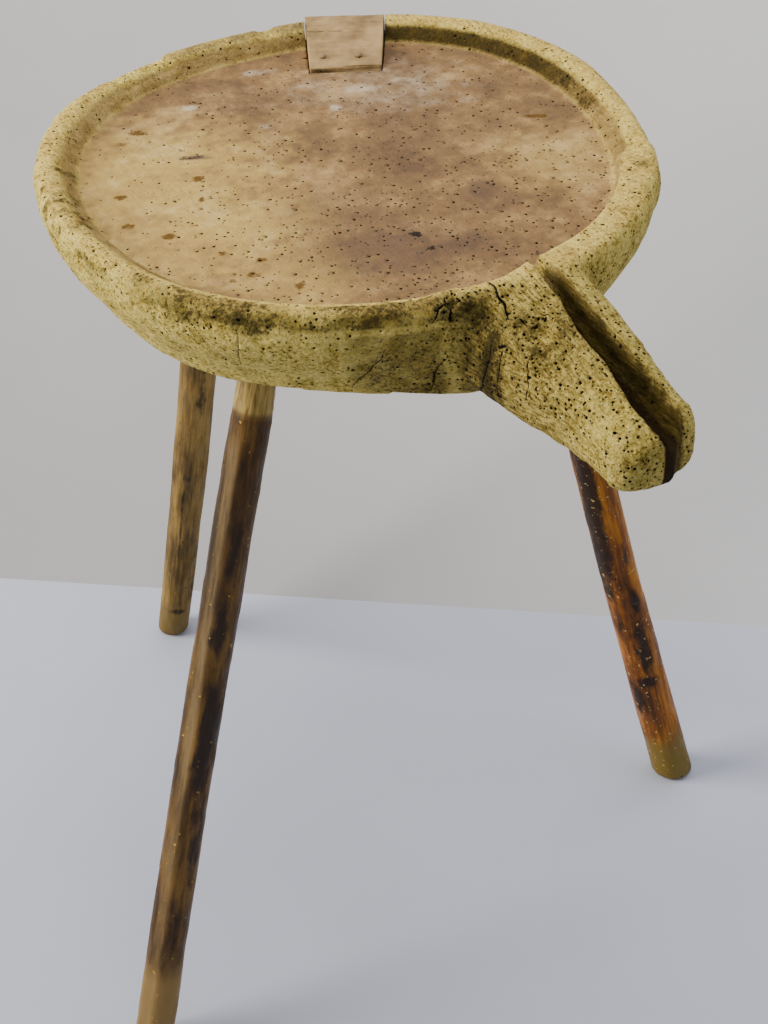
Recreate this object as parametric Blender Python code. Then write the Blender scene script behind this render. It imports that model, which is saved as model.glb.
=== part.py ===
"""Hand-hewn round draining table on three pole legs, as separate solids.

A thick round slab is hollowed into a shallow dish with a raised rim. A carved spout grows out of the
same slab and carries a deep groove that starts at the dish floor. A broken stretch of the rim is made
good by a let-in patch held by two hand-made nails. Three stripped poles have tapered tenons driven
into blind sockets from below, and each tenon is spread by a hidden wedge in its kerf.

Units are metres and +Z is up. The model is worked out about the axis of the dish, with z = 0 at the
top of the rim, and is then moved so that its origin is on the floor under the middle of its box.
"""

import math

import bmesh
import bpy
from mathutils import Matrix, Vector

# Overall sizes
RIM_HEIGHT = 0.780  # floor to the top of the rim
RIM_RADIUS = 0.270  # mean radius of the outside, at its widest
BODY_THICKNESS = 0.098  # rim top to underside

# Dish
DISH_DEPTH = 0.018
RIM_WIDTH = 0.023  # flat top of the rim
WALL_BATTER = 0.013  # how far the inner wall leans in on its way down
RIM_ROUND = 0.009  # worn outer edge of the rim
LIP_ROUND = 0.003  # worn inner edge of the rim
SIDE_DEPTH = 0.020  # below the rim top, where the outside starts to fall inwards
SIDE_FLATNESS = 1.3  # 1 is a full bulge and more is flatter
BASE_INSET = 0.032  # how much smaller the underside is than the rim
BASE_ROUND = 0.012
SIDE_STEPS = 4
WEB_AZIMUTH = -64.0  # the side stands almost upright here, where the spout grows out of it
WEB_SPREAD = 14.0  # degrees either way
WEB_SHARE = 0.9  # of the inset that the web takes up
LOBES = ((3, 0.0045, 60.0), (4, 0.0045, -26.6))  # waves round the outside, amplitude, bearing in degrees

# Spout
MOUTH_AZIMUTH = -53.4  # where the groove leaves the dish, in degrees
MOUTH_BEYOND_DISH = 0.015
SPOUT_HEADING = -63.5  # the way the spout points, in degrees
SPOUT_REACH = 0.193  # mouth to tip
SPOUT_ROOT = 0.060  # how far the spout's stock runs back inside the slab
SPOUT_ROOT_LEFT = 0.081  # half widths to either side of the groove's line
SPOUT_TIP_LEFT = 0.049
SPOUT_ROOT_RIGHT = 0.040
SPOUT_TIP_RIGHT = 0.031
SPOUT_FALL = 0.040  # how far the top of the tip lies below the rim
SPOUT_TIP_THICKNESS = 0.056
SPOUT_NOSE = 0.022  # length over which the tip rounds off
SPOUT_SQUARENESS = 0.55  # 1 is an ellipse and less is squarer
SPOUT_NARROWED_BY = 0.87  # share of the reach at which the stock has its width at the tip
SPOUT_FALL_REACH = 1.35  # the curve of its top would level out here, in reaches
NOSE_STEPS = 4
NOSE_END = 0.6  # width of the flat at the tip over the width before it rounds off

# Groove
GROOVE_MOUTH_WIDTH = 0.012
GROOVE_TIP_WIDTH = 0.028
GROOVE_MOUTH_DEPTH = 0.0015  # below the dish floor
GROOVE_TIP_DEPTH = 0.027  # below the top of the tip
GROOVE_SWAY = 0.003  # how far its middle wanders to the left
GROOVE_FLARE = 1.15  # opening at the top over the width at the bottom

# Rim patch
PATCH_AZIMUTH = 90.0
PATCH_RIM_WIDTH = 0.080  # across the outside of the rim
PATCH_TOE_WIDTH = 0.069  # across its inner end
PATCH_TOE_REACH = 0.073  # inner end to the inner edge of the rim
PATCH_LET_IN = 0.006  # seat below the dish floor
PATCH_TOE_PROUD = 0.003
PATCH_TOP_DROP = 0.0015

# Nails of the patch
NAIL_SHANK = 0.0034
NAIL_LENGTH = 0.040
NAIL_HEAD = 0.0095
NAIL_HEAD_THICKNESS = 0.0022
NAIL_SIDES = 8
# Stations of a nail, (share of its length below the face, share of the shank's radius)
NAIL_SHANK_SHAPE = ((1.0, 0.35), (0.6, 0.85), (0.0, 1.0))
# Stations of its head, (share of its thickness above its underside, share of its radius)
NAIL_HEAD_SHAPE = ((0.0, 0.92), (0.4, 1.0), (1.0, 0.35))
NAIL_TOE_DISTANCE = 0.020  # from the patch's inner end
NAIL_OFFSETS = {"patch_nail_left": -0.021, "patch_nail_right": 0.013}

# Leg joints
TENON_LENGTH = 0.052
TENON_RADIUS = 0.0160  # at the underside
TENON_TAPER = 0.0022  # loss of radius over its length
SOCKET_END_GAP = 0.002
KERF_DEPTH = 0.030
KERF_MOUTH = 0.0050  # width at the end of the spread tenon
KERF_ROOT = 0.0016
WEDGE_LENGTH = 0.025
WEDGE_EDGE_INSET = 0.003  # wedge side to the tenon's surface

CLEARANCE = 0.0003  # left between pieces that touch

# Fineness of the faceted solids
AROUND = 72
SPOUT_STEPS = 14
SPOUT_SIDES = 20
LEG_SIDES = 18
LEG_STEPS = 10
HOLE_SIDES = 24
PAST = 0.030  # how far a cutter runs past what it cuts

LEG_SHAPES = {
    "front": {
        "socket_azimuth": -114.5,  # azimuths and leans in degrees
        "socket_inset": 0.086,  # from the outside of the rim
        "lean": 20.4,
        "lean_azimuth": -127.0,
        "foot_radius": 0.0186,
        "middle_radius": 0.0176,
        "top_radius": 0.0174,
        "sideways_bow": -0.002,  # how far the middle of the pole stands off the straight line
        "outward_bow": 0.0,
    },
    "back_left": {
        "socket_azimuth": 137.0,
        "socket_inset": 0.089,
        "lean": 12.95,
        "lean_azimuth": 137.0,
        "foot_radius": 0.0182,
        "middle_radius": 0.0194,
        "top_radius": 0.0186,
        "sideways_bow": -0.005,
        "outward_bow": 0.0,
    },
    "right": {
        "socket_azimuth": -5.0,
        "socket_inset": 0.101,
        "lean": 13.7,
        "lean_azimuth": -6.5,
        "foot_radius": 0.0232,
        "middle_radius": 0.0190,
        "top_radius": 0.0186,
        "sideways_bow": 0.0,
        "outward_bow": -0.004,
    },
}
FOOT_ROUND = 0.006
SHAVED_LENGTH = 0.060  # stretch below the tray where the pole is shaved down to its tenon
NECK_SHARE = 0.55  # how much of the shaving is done half-way up that stretch

DISH_RADIUS = RIM_RADIUS - RIM_WIDTH - WALL_BATTER
LIP_RADIUS = RIM_RADIUS - RIM_WIDTH
PATCH_TOE_RADIUS = LIP_RADIUS - PATCH_TOE_REACH


def polar(radius, azimuth, z=0.0):
    """Point at this radius and azimuth in degrees about the dish's axis."""
    angle = math.radians(azimuth)
    return Vector((radius * math.cos(angle), radius * math.sin(angle), z))


def arc(centre, radius, start, end, steps):
    """Points (r, z) of a circular arc, angles in degrees."""
    points = []
    for i in range(steps + 1):
        angle = math.radians(start + (end - start) * i / steps)
        points.append((centre[0] + radius * math.cos(angle), centre[1] + radius * math.sin(angle)))
    return points


def smooth(x):
    """Smooth step from 0 to 1."""
    x = min(max(x, 0.0), 1.0)
    return x * x * (3 - 2 * x)


def mix(a, b, share):
    return a + (b - a) * share


def lobed(radius, angle):
    """Radius with the hewn slab's slow waves, which grow with the distance from the axis."""
    waves = sum(size * math.cos(count * (angle - math.radians(bearing))) for count, size, bearing in LOBES)
    return radius * (1 + waves / RIM_RADIUS)


# Meshes


def finish_mesh(name, bm):
    """Mesh from a bmesh, its faces turned outwards and its curved stretches shaded smooth."""
    bmesh.ops.remove_doubles(bm, verts=bm.verts, dist=1e-6)
    bmesh.ops.recalc_face_normals(bm, faces=bm.faces)
    mesh = bpy.data.meshes.new(name)
    bm.to_mesh(mesh)
    bm.free()
    mesh.shade_smooth()
    mesh.set_sharp_from_angle(angle=math.radians(35))
    return mesh


def turned(name, profile_at):
    """Closed mesh of a profile carried round the dish's lobed outline.

    profile_at gives the points (r, z) at an angle, and both of its ends lie on the axis.
    """
    bm = bmesh.new()
    angles = [math.tau * i / AROUND for i in range(AROUND)]
    profiles = [profile_at(angle) for angle in angles]
    last = len(profiles[0]) - 1
    rings = [[bm.verts.new((0.0, 0.0, profiles[0][0][1]))]]
    for level in range(1, last):
        ring = []
        for angle, profile in zip(angles, profiles):
            radius, z = profile[level]
            reach = lobed(radius, angle)
            ring.append(bm.verts.new((reach * math.cos(angle), reach * math.sin(angle), z)))
        rings.append(ring)
    rings.append([bm.verts.new((0.0, 0.0, profiles[0][last][1]))])
    join_rings(bm, rings)
    return finish_mesh(name, bm)


def join_rings(bm, rings):
    """Faces between rings of vertices, one after the other. A ring of one vertex is a point."""
    for below, above in zip(rings, rings[1:]):
        count = max(len(below), len(above))
        for i in range(count):
            j = (i + 1) % count
            corners = [below[i % len(below)], below[j % len(below)], above[j % len(above)], above[i % len(above)]]
            bm.faces.new(list(dict.fromkeys(corners)))


def lofted(name, sections):
    """Closed mesh through sections of equal length, with flat ends."""
    bm = bmesh.new()
    rings = [[bm.verts.new(point) for point in section] for section in sections]
    join_rings(bm, rings)
    bm.faces.new(rings[0])
    bm.faces.new(rings[-1])
    return finish_mesh(name, bm)


def ring_at(centre, frame, radius, sides):
    """Circle of points about a centre, in the plane of the frame's first two axes."""
    points = []
    for i in range(sides):
        angle = math.tau * i / sides
        points.append(centre + frame @ Vector((radius * math.cos(angle), radius * math.sin(angle), 0.0)))
    return points


def prism(name, plan, low, high):
    """Upright block of a plan of (x, y) points between two heights."""
    return lofted(name, [[Vector((x, y, z)) for x, y in plan] for z in (low, high)])


# Objects


def material(name, colour, roughness, metallic=0.0):
    """Principled material of a linear colour."""
    made = bpy.data.materials.new(name)
    made.use_nodes = True
    shader = made.node_tree.nodes["Principled BSDF"]
    shader.inputs["Base Color"].default_value = (*colour, 1.0)
    shader.inputs["Roughness"].default_value = roughness
    shader.inputs["Metallic"].default_value = metallic
    return made


def piece(name, mesh, surface, parent):
    """Object of one sub-part."""
    obj = bpy.data.objects.new(name, mesh)
    mesh.materials.append(surface)
    obj.parent = parent
    bpy.context.collection.objects.link(obj)
    return obj


def cutter(mesh, parent):
    """Helper that only shapes other pieces."""
    obj = bpy.data.objects.new(mesh.name, mesh)
    obj.parent = parent
    obj.hide_render = True
    obj.display_type = "WIRE"
    bpy.context.collection.objects.link(obj)
    return obj


def boolean(obj, operation, other):
    """Boolean of an object with a cutter."""
    modifier = obj.modifiers.new(f"{operation.lower()}_{other.name}", "BOOLEAN")
    modifier.operation = operation
    modifier.object = other
    modifier.solver = "EXACT"


# Slab and dish


def web_share(angle):
    """How much of the side's inset is filled out at this angle, most at the spout."""
    away = math.remainder(angle - math.radians(WEB_AZIMUTH), math.tau)
    return WEB_SHARE * math.exp(-0.5 * (away / math.radians(WEB_SPREAD)) ** 2)


def slab_profile(angle):
    """Outside of the slab, from the middle of the underside to the middle of the top."""
    base = RIM_RADIUS - BASE_INSET * (1 - web_share(angle))
    points = [(0.0, -BODY_THICKNESS)]
    points += arc((base - BASE_ROUND, -BODY_THICKNESS + BASE_ROUND), BASE_ROUND, -90, -25, 3)
    low = points[-1]
    for i in range(1, SIDE_STEPS + 1):
        share = i / SIDE_STEPS
        bulge = math.sin(share * math.pi / 2) ** SIDE_FLATNESS
        points.append((mix(low[0], RIM_RADIUS, bulge), mix(low[1], -SIDE_DEPTH, share)))
    points += arc((RIM_RADIUS - RIM_ROUND, -RIM_ROUND), RIM_ROUND, 0, 90, 4)
    points.append((0.0, 0.0))
    return points


def dish_profile(_angle):
    """Hollow of the dish, from the middle of its floor to above the rim, the same all round."""
    foot = LIP_ROUND
    points = [(0.0, -DISH_DEPTH), (DISH_RADIUS - foot, -DISH_DEPTH)]
    points.append((DISH_RADIUS + foot * WALL_BATTER / DISH_DEPTH, -DISH_DEPTH + foot))
    points.append((LIP_RADIUS, -LIP_ROUND))
    points.append((LIP_RADIUS + LIP_ROUND, 0.0))
    points.append((LIP_RADIUS + LIP_ROUND + PAST, PAST))
    points.append((0.0, PAST))
    return points


# Spout and groove


def spout_frame():
    """Place of the groove's mouth and the axes along, to the right of, and above the spout."""
    mouth = polar(DISH_RADIUS + MOUTH_BEYOND_DISH, MOUTH_AZIMUTH)
    along = polar(1.0, SPOUT_HEADING)
    right = Vector((-along.y, along.x, 0.0))
    return mouth, along, right


def spout_point(along_by, right_by, z):
    mouth, along, right = spout_frame()
    return mouth + along * along_by + right * right_by + Vector((0.0, 0.0, z))


def spout_top(distance):
    """Height of the spout's top, which leaves the rim level and falls faster towards the tip."""
    share = max(distance, 0.0) / SPOUT_REACH
    return -SPOUT_FALL * smooth(share / SPOUT_FALL_REACH) / smooth(1 / SPOUT_FALL_REACH)


def spout_section(distance, shrink):
    """Rounded section of the spout's stock at this distance from the mouth."""
    share = smooth(max(distance, 0.0) / SPOUT_REACH / SPOUT_NARROWED_BY)
    left = -mix(SPOUT_ROOT_LEFT, SPOUT_TIP_LEFT, share)
    right = mix(SPOUT_ROOT_RIGHT, SPOUT_TIP_RIGHT, share)
    top = spout_top(distance)
    root_floor = -BODY_THICKNESS + 2 * CLEARANCE
    bottom = mix(root_floor, -SPOUT_FALL - SPOUT_TIP_THICKNESS, share)
    half_width = (right - left) / 2 * shrink
    half_height = (top - bottom) / 2 * shrink
    points = []
    for i in range(SPOUT_SIDES):
        angle = math.tau * (i + 0.5) / SPOUT_SIDES
        across = math.copysign(abs(math.cos(angle)) ** SPOUT_SQUARENESS, math.cos(angle))
        up = math.copysign(abs(math.sin(angle)) ** SPOUT_SQUARENESS, math.sin(angle))
        points.append(
            spout_point(distance, (left + right) / 2 + across * half_width, (top + bottom) / 2 + up * half_height)
        )
    return points


def spout_mesh():
    """Stock of the spout, from inside the slab to its rounded tip."""
    sections = []
    straight = SPOUT_REACH - SPOUT_NOSE
    for i in range(SPOUT_STEPS + 1):
        sections.append(spout_section(mix(-SPOUT_ROOT, straight, i / SPOUT_STEPS), 1.0))
    for i in range(1, NOSE_STEPS + 1):
        turn = math.pi / 2 * i / NOSE_STEPS
        shrink = mix(NOSE_END, 1.0, math.cos(turn))
        sections.append(spout_section(straight + SPOUT_NOSE * math.sin(turn), shrink))
    return lofted("spout_stock", sections)


def groove_mesh():
    """Cutter of the groove: a round-bottomed slot that widens and falls towards the tip."""
    sections = []
    start = -DISH_DEPTH
    end = SPOUT_REACH + PAST
    mouth_floor = -DISH_DEPTH - GROOVE_MOUTH_DEPTH
    tip_floor = -SPOUT_FALL - GROOVE_TIP_DEPTH
    for i in range(SPOUT_STEPS + 1):
        distance = mix(start, end, i / SPOUT_STEPS)
        share = distance / SPOUT_REACH
        width = mix(GROOVE_MOUTH_WIDTH, GROOVE_TIP_WIDTH, max(share, 0.0))
        floor = mix(mouth_floor, tip_floor, max(share, 0.0))
        middle = -GROOVE_SWAY * math.sin(math.pi * min(max(share, 0.0), 1.0))
        half = width / 2
        section = [
            (middle + r, floor + half + z) for r, z in arc((0.0, 0.0), half, 180, 360, 8)
        ]
        section = [(middle - half * GROOVE_FLARE, PAST)] + section + [(middle + half * GROOVE_FLARE, PAST)]
        sections.append([spout_point(distance, right_by, z) for right_by, z in section])
    return lofted("groove_cutter", sections)


# Rim patch


def patch_half_width(radius):
    """Half the width of the patch's recess at this distance from the dish's axis."""
    share = (radius - PATCH_TOE_RADIUS) / (RIM_RADIUS - PATCH_TOE_RADIUS)
    return mix(PATCH_TOE_WIDTH, PATCH_RIM_WIDTH, share) / 2


def recess_plan():
    """Plan of the patch's recess, wider at the rim, as (x, y) about the dish's axis."""
    toe = PATCH_TOE_RADIUS
    outer = RIM_RADIUS + PAST
    corners = [(toe, -patch_half_width(toe)), (outer, -patch_half_width(outer))]
    corners += [(radius, -side) for radius, side in reversed(corners)]
    turn = Matrix.Rotation(math.radians(PATCH_AZIMUTH), 2)
    return [tuple(turn @ Vector(corner)) for corner in corners]


def patch_seat():
    return -DISH_DEPTH - PATCH_LET_IN


def patch_ramp():
    """Heights (radius, z) of the patch's worn face: toe, inner edge of the rim, outer edge."""
    return (
        (PATCH_TOE_RADIUS, -DISH_DEPTH + PATCH_TOE_PROUD),
        (LIP_RADIUS, -PATCH_TOP_DROP),
        (RIM_RADIUS + PAST, -PATCH_TOP_DROP),
    )


def patch_mesh():
    """Ramp-shaped block that runs past the outside, which is then cut to the slab's own shape."""
    floor = patch_seat() + CLEARANCE
    turn = Matrix.Rotation(math.radians(PATCH_AZIMUTH), 3, "Z")
    sections = []
    for radius, top in patch_ramp():
        along = max(radius, PATCH_TOE_RADIUS + CLEARANCE)
        half = patch_half_width(along) - CLEARANCE
        section = ((-half, floor), (half, floor), (half, top), (-half, top))
        sections.append([turn @ Vector((along, side, z)) for side, z in section])
    return lofted("rim_patch", sections)


def nail_frame(offset):
    """Point on the patch's face and the axes of a nail driven square to that face."""
    toe, lip, _ = patch_ramp()
    slope = math.atan2(lip[1] - toe[1], lip[0] - toe[0])
    along = NAIL_TOE_DISTANCE
    radius = toe[0] + along
    height = toe[1] + along * math.tan(slope)
    turn = Matrix.Rotation(math.radians(PATCH_AZIMUTH), 3, "Z")
    frame = turn @ Matrix.Rotation(-slope, 3, "Y")
    return turn @ Vector((radius, -offset, height)), frame


def nail_mesh(name, offset):
    """Tapered shank under a low faceted head, whose underside sits just off the patch."""
    point, frame = nail_frame(offset)
    up = frame @ Vector((0.0, 0.0, 1.0))
    shank = NAIL_SHANK / 2
    stations = [(-NAIL_LENGTH * down, shank * share) for down, share in NAIL_SHANK_SHAPE]
    stations.append((CLEARANCE, shank))
    stations += [
        (CLEARANCE + NAIL_HEAD_THICKNESS * rise, NAIL_HEAD / 2 * share) for rise, share in NAIL_HEAD_SHAPE
    ]
    return lofted(name, [ring_at(point + up * z, frame, radius, NAIL_SIDES) for z, radius in stations])


def nail_hole_mesh(name, offset):
    """Bore for a nail, a little wider and deeper than its shank."""
    point, frame = nail_frame(offset)
    up = frame @ Vector((0.0, 0.0, 1.0))
    radius = NAIL_SHANK / 2 + CLEARANCE
    ends = (point - up * (NAIL_LENGTH + SOCKET_END_GAP), point + up * NAIL_SHANK)
    return lofted(f"{name}_hole", [ring_at(end, frame, radius, 2 * NAIL_SIDES) for end in ends])


# Legs


class Leg:
    """One pole leg: its axis, its tenon and its wedge."""

    def __init__(self, place, shape):
        self.place = place
        self.shape = shape
        self.entry = polar(RIM_RADIUS - shape["socket_inset"], shape["socket_azimuth"], -BODY_THICKNESS)
        outward = polar(math.tan(math.radians(shape["lean"])), shape["lean_azimuth"])
        self.axis = (Vector((0.0, 0.0, 1.0)) - outward).normalized()
        side = self.axis.cross(Vector((0.0, 0.0, 1.0))).normalized()
        self.frame = Matrix((side, side.cross(self.axis), -self.axis)).transposed()
        self.length = (RIM_HEIGHT - BODY_THICKNESS) / self.axis.z

    def at(self, distance, bow=0.0):
        """Point on the pole's centre line, this far up from the underside of the tray."""
        sway = Vector((self.shape["sideways_bow"], self.shape["outward_bow"], 0.0)) * bow
        return self.entry + self.axis * distance + self.frame @ sway

    def ring(self, distance, radius, sides, bow=0.0):
        return ring_at(self.at(distance, bow), self.frame, radius, sides)

    def pole_radius(self, share):
        """Radius this far up the pole, 0 at the floor and 1 under the tray."""
        middle = self.shape["middle_radius"]
        if share < 0.5:
            return mix(self.shape["foot_radius"], middle, smooth(share * 2))
        return mix(middle, self.shape["top_radius"], smooth(share * 2 - 1))

    def tenon_radius(self, distance):
        return TENON_RADIUS - TENON_TAPER * distance / TENON_LENGTH

    def leg_mesh(self):
        """Pole from below the floor up to the end of its tenon, cut level at the floor."""
        foot = self.shape["foot_radius"]
        past = 2 * foot * math.tan(math.acos(self.axis.z))
        sections = [self.ring(-self.length - past, foot - FOOT_ROUND / 2, LEG_SIDES)]
        shoulder = 1 - SHAVED_LENGTH / self.length
        for i in range(LEG_STEPS + 1):
            share = shoulder * i / LEG_STEPS
            radius = self.pole_radius(share)
            if i == 0:
                radius -= FOOT_ROUND / 3
            bow = math.sin(math.pi * share / shoulder)
            sections.append(self.ring((share - 1) * self.length, radius, LEG_SIDES, bow))
        neck = mix(self.shape["top_radius"], TENON_RADIUS, NECK_SHARE)
        sections.append(self.ring(-SHAVED_LENGTH / 2, neck, LEG_SIDES))
        sections.append(self.ring(-CLEARANCE, TENON_RADIUS, LEG_SIDES))
        sections.append(self.ring(TENON_LENGTH, self.tenon_radius(TENON_LENGTH), LEG_SIDES))
        mesh = lofted(f"leg_{self.place}", sections)
        bm = bmesh.new()
        bm.from_mesh(mesh)
        floor = Vector((0.0, 0.0, -RIM_HEIGHT))
        geometry = bm.verts[:] + bm.edges[:] + bm.faces[:]
        cut = bmesh.ops.bisect_plane(
            bm, geom=geometry, dist=1e-7, plane_co=floor, plane_no=(0.0, 0.0, 1.0), clear_inner=True
        )
        edges = [item for item in cut["geom_cut"] if isinstance(item, bmesh.types.BMEdge)]
        bmesh.ops.contextual_create(bm, geom=edges)
        bpy.data.meshes.remove(mesh)
        return finish_mesh(f"leg_{self.place}", bm)

    def socket_mesh(self):
        """Blind tapered hole, started below the underside so that it cuts clean through it."""
        start = -PAST
        end = TENON_LENGTH + SOCKET_END_GAP
        sections = [
            self.ring(distance, self.tenon_radius(distance) + CLEARANCE, HOLE_SIDES) for distance in (start, end)
        ]
        return lofted(f"socket_{self.place}", sections)

    def taper_block(self, name, low, high, low_thickness, high_thickness, width):
        """Tapered block on the leg's axis: the kerf's cutter and the wedge that fills it."""
        sections = []
        for distance, thickness in ((low, low_thickness), (high, high_thickness)):
            corners = ((-1, -1), (1, -1), (1, 1), (-1, 1))
            sections.append(
                [
                    self.at(distance) + self.frame @ Vector((x * width / 2, y * thickness / 2, 0.0))
                    for x, y in corners
                ]
            )
        return lofted(name, sections)

    def kerf_width(self, distance):
        """Width of the kerf this far up from the underside."""
        root = TENON_LENGTH - KERF_DEPTH
        return mix(KERF_ROOT, KERF_MOUTH, (distance - root) / KERF_DEPTH)

    def kerf_mesh(self):
        """Cutter of the kerf, open at the end of the tenon and at both its sides."""
        root = TENON_LENGTH - KERF_DEPTH
        past = TENON_LENGTH + SOCKET_END_GAP
        return self.taper_block(
            f"kerf_{self.place}", root, past, KERF_ROOT, self.kerf_width(past), 4 * TENON_RADIUS
        )

    def wedge_mesh(self):
        """Wedge that fills the wide part of the kerf."""
        high = TENON_LENGTH
        low = high - WEDGE_LENGTH
        width = 2 * (self.tenon_radius(high) - WEDGE_EDGE_INSET)
        gap = 2 * CLEARANCE
        return self.taper_block(
            f"wedge_{self.place}", low, high, self.kerf_width(low) - gap, self.kerf_width(high) - gap, width
        )


# The whole


def build_tray(parent, surface, sockets, nail_holes):
    """Slab with its spout, hollowed and bored."""
    tray = piece("tray", turned("tray", slab_profile), surface, parent)
    boolean(tray, "UNION", cutter(spout_mesh(), parent))
    boolean(tray, "DIFFERENCE", cutter(turned("dish_cutter", dish_profile), parent))
    boolean(tray, "DIFFERENCE", cutter(groove_mesh(), parent))
    recess = prism("patch_recess", recess_plan(), patch_seat(), PAST)
    boolean(tray, "DIFFERENCE", cutter(recess, parent))
    for hole in sockets + nail_holes:
        boolean(tray, "DIFFERENCE", hole)
    return tray


def build_patch(parent, surface, iron, nail_holes):
    """Let-in piece of the rim and its two nails."""
    patch = piece("rim_patch", patch_mesh(), surface, parent)
    boolean(patch, "INTERSECT", cutter(turned("slab_shape", slab_profile), parent))
    for hole in nail_holes:
        boolean(patch, "DIFFERENCE", hole)
    for name, offset in NAIL_OFFSETS.items():
        piece(name, nail_mesh(name, offset), iron, parent)


def build_leg(leg, parent, surface, wedge_surface):
    """Pole with its kerfed tenon and the wedge in the kerf."""
    pole = piece(f"leg_{leg.place}", leg.leg_mesh(), surface, parent)
    boolean(pole, "DIFFERENCE", cutter(leg.kerf_mesh(), parent))
    piece(f"wedge_{leg.place}", leg.wedge_mesh(), wedge_surface, parent)


def stand_on_floor(parent):
    """Moves the whole so that its origin is on the floor, under the middle of its box."""
    bpy.context.view_layer.update()
    graph = bpy.context.evaluated_depsgraph_get()
    points = []
    for obj in parent.children:
        if not obj.hide_render:
            evaluated = obj.evaluated_get(graph)
            points += [evaluated.matrix_world @ Vector(corner) for corner in evaluated.bound_box]
    low = [min(point[axis] for point in points) for axis in range(2)]
    high = [max(point[axis] for point in points) for axis in range(2)]
    parent.location = (-(low[0] + high[0]) / 2, -(low[1] + high[1]) / 2, RIM_HEIGHT)


def main():
    for obj in list(bpy.data.objects):
        bpy.data.objects.remove(obj)
    whole = bpy.data.objects.new("table", None)
    bpy.context.collection.objects.link(whole)

    tray_wood = material("weathered_walnut_slab", (0.45, 0.34, 0.19), 0.85)
    patch_wood = material("patch_wood", (0.42, 0.32, 0.21), 0.7)
    iron = material("forged_iron", (0.05, 0.05, 0.06), 0.6, 0.8)
    wedge_wood = material("split_oak_wedge", (0.40, 0.27, 0.14), 0.8)
    pole_woods = {
        "front": material("brown_pole", (0.13, 0.075, 0.035), 0.55),
        "back_left": material("olive_pole", (0.16, 0.11, 0.05), 0.6),
        "right": material("red_brown_pole", (0.19, 0.075, 0.02), 0.5),
    }

    legs = [Leg(place, shape) for place, shape in LEG_SHAPES.items()]
    sockets = [cutter(leg.socket_mesh(), whole) for leg in legs]
    nail_holes = [cutter(nail_hole_mesh(name, offset), whole) for name, offset in NAIL_OFFSETS.items()]

    build_tray(whole, tray_wood, sockets, nail_holes)
    build_patch(whole, patch_wood, iron, nail_holes)
    for leg in legs:
        build_leg(leg, whole, pole_woods[leg.place], wedge_wood)
    stand_on_floor(whole)


main()
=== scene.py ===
"""Visual model of a hand-hewn round draining table on three pole legs.

A thick slab of pale, worm-eaten wood is hollowed into a shallow dish. A carved spout with a deep groove
grows out of the same slab. A let-in patch mends the rim at the back, and three stripped poles stand in
sockets under the slab. Everything is in metres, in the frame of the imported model.
"""

import itertools
import logging
import math
from collections.abc import Iterable
from dataclasses import dataclass, field
from enum import Enum
from typing import Any

import bmesh
import bpy
import numpy as np
from mathutils import Matrix, Vector
from mathutils.bvhtree import BVHTree


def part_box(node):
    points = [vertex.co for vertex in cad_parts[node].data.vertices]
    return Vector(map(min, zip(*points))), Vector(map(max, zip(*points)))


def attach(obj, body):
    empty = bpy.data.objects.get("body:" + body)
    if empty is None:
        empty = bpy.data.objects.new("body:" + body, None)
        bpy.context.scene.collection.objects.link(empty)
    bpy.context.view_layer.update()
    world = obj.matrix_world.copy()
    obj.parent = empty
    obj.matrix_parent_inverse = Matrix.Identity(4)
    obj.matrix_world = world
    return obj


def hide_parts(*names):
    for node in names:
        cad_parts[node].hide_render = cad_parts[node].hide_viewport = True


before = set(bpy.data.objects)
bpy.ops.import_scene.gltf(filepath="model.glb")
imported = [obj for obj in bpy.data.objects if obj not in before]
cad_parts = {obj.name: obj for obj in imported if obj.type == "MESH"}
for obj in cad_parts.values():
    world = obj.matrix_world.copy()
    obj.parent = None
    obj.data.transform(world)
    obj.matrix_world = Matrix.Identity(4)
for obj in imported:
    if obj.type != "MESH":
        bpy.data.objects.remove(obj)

log = logging.getLogger("draining_table")

ROOT = "root"
UP = Vector((0.0, 0.0, 1.0))
NODE_SPACING = 180.0
INSET = 0.0002  # how far the tray stays inside the box of its CAD solid
CRACK_END = 0.00004  # half the width of a crack at its bottom
WOOD_IOR = 1.45
GREASED_IOR = 1.5
SPECULAR = "Specular IOR Level"
Colour = tuple[float, float, float, float]
Stops = tuple[tuple[float, str], ...]  # position and sRGB hex colour of each stop of a ramp


# Numbers and colours


def srgb(code: str) -> Colour:
    """Linear colour of an sRGB hex code.

    Args:
        code: Six hex digits, with or without a leading #.

    Returns:
        The linear red, green, blue and an alpha of 1.
    """
    values = [int(code.lstrip("#")[i : i + 2], 16) / 255 for i in (0, 2, 4)]
    red, green, blue = (v / 12.92 if v <= 0.04045 else ((v + 0.055) / 1.055) ** 2.4 for v in values)
    return (red, green, blue, 1.0)


def mix(a: Any, b: Any, share: Any) -> Any:
    """Value this share of the way from a to b."""
    return a + (b - a) * share


def smooth(x: Any) -> Any:
    """Smooth step from 0 to 1, for numbers and arrays."""
    x = np.clip(x, 0.0, 1.0)
    return x * x * (3 - 2 * x)


def step(x: Any, low: float, high: float) -> Any:
    """Smooth step from 0 at low to 1 at high. High may be below low."""
    return smooth((x - low) / (high - low))


def window(x: Any, low: float, high: float, edge: float) -> Any:
    """1 between low and high, falling off to 0 over the edge outside them."""
    return step(x, low - edge, low) * step(x, high + edge, high)


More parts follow.
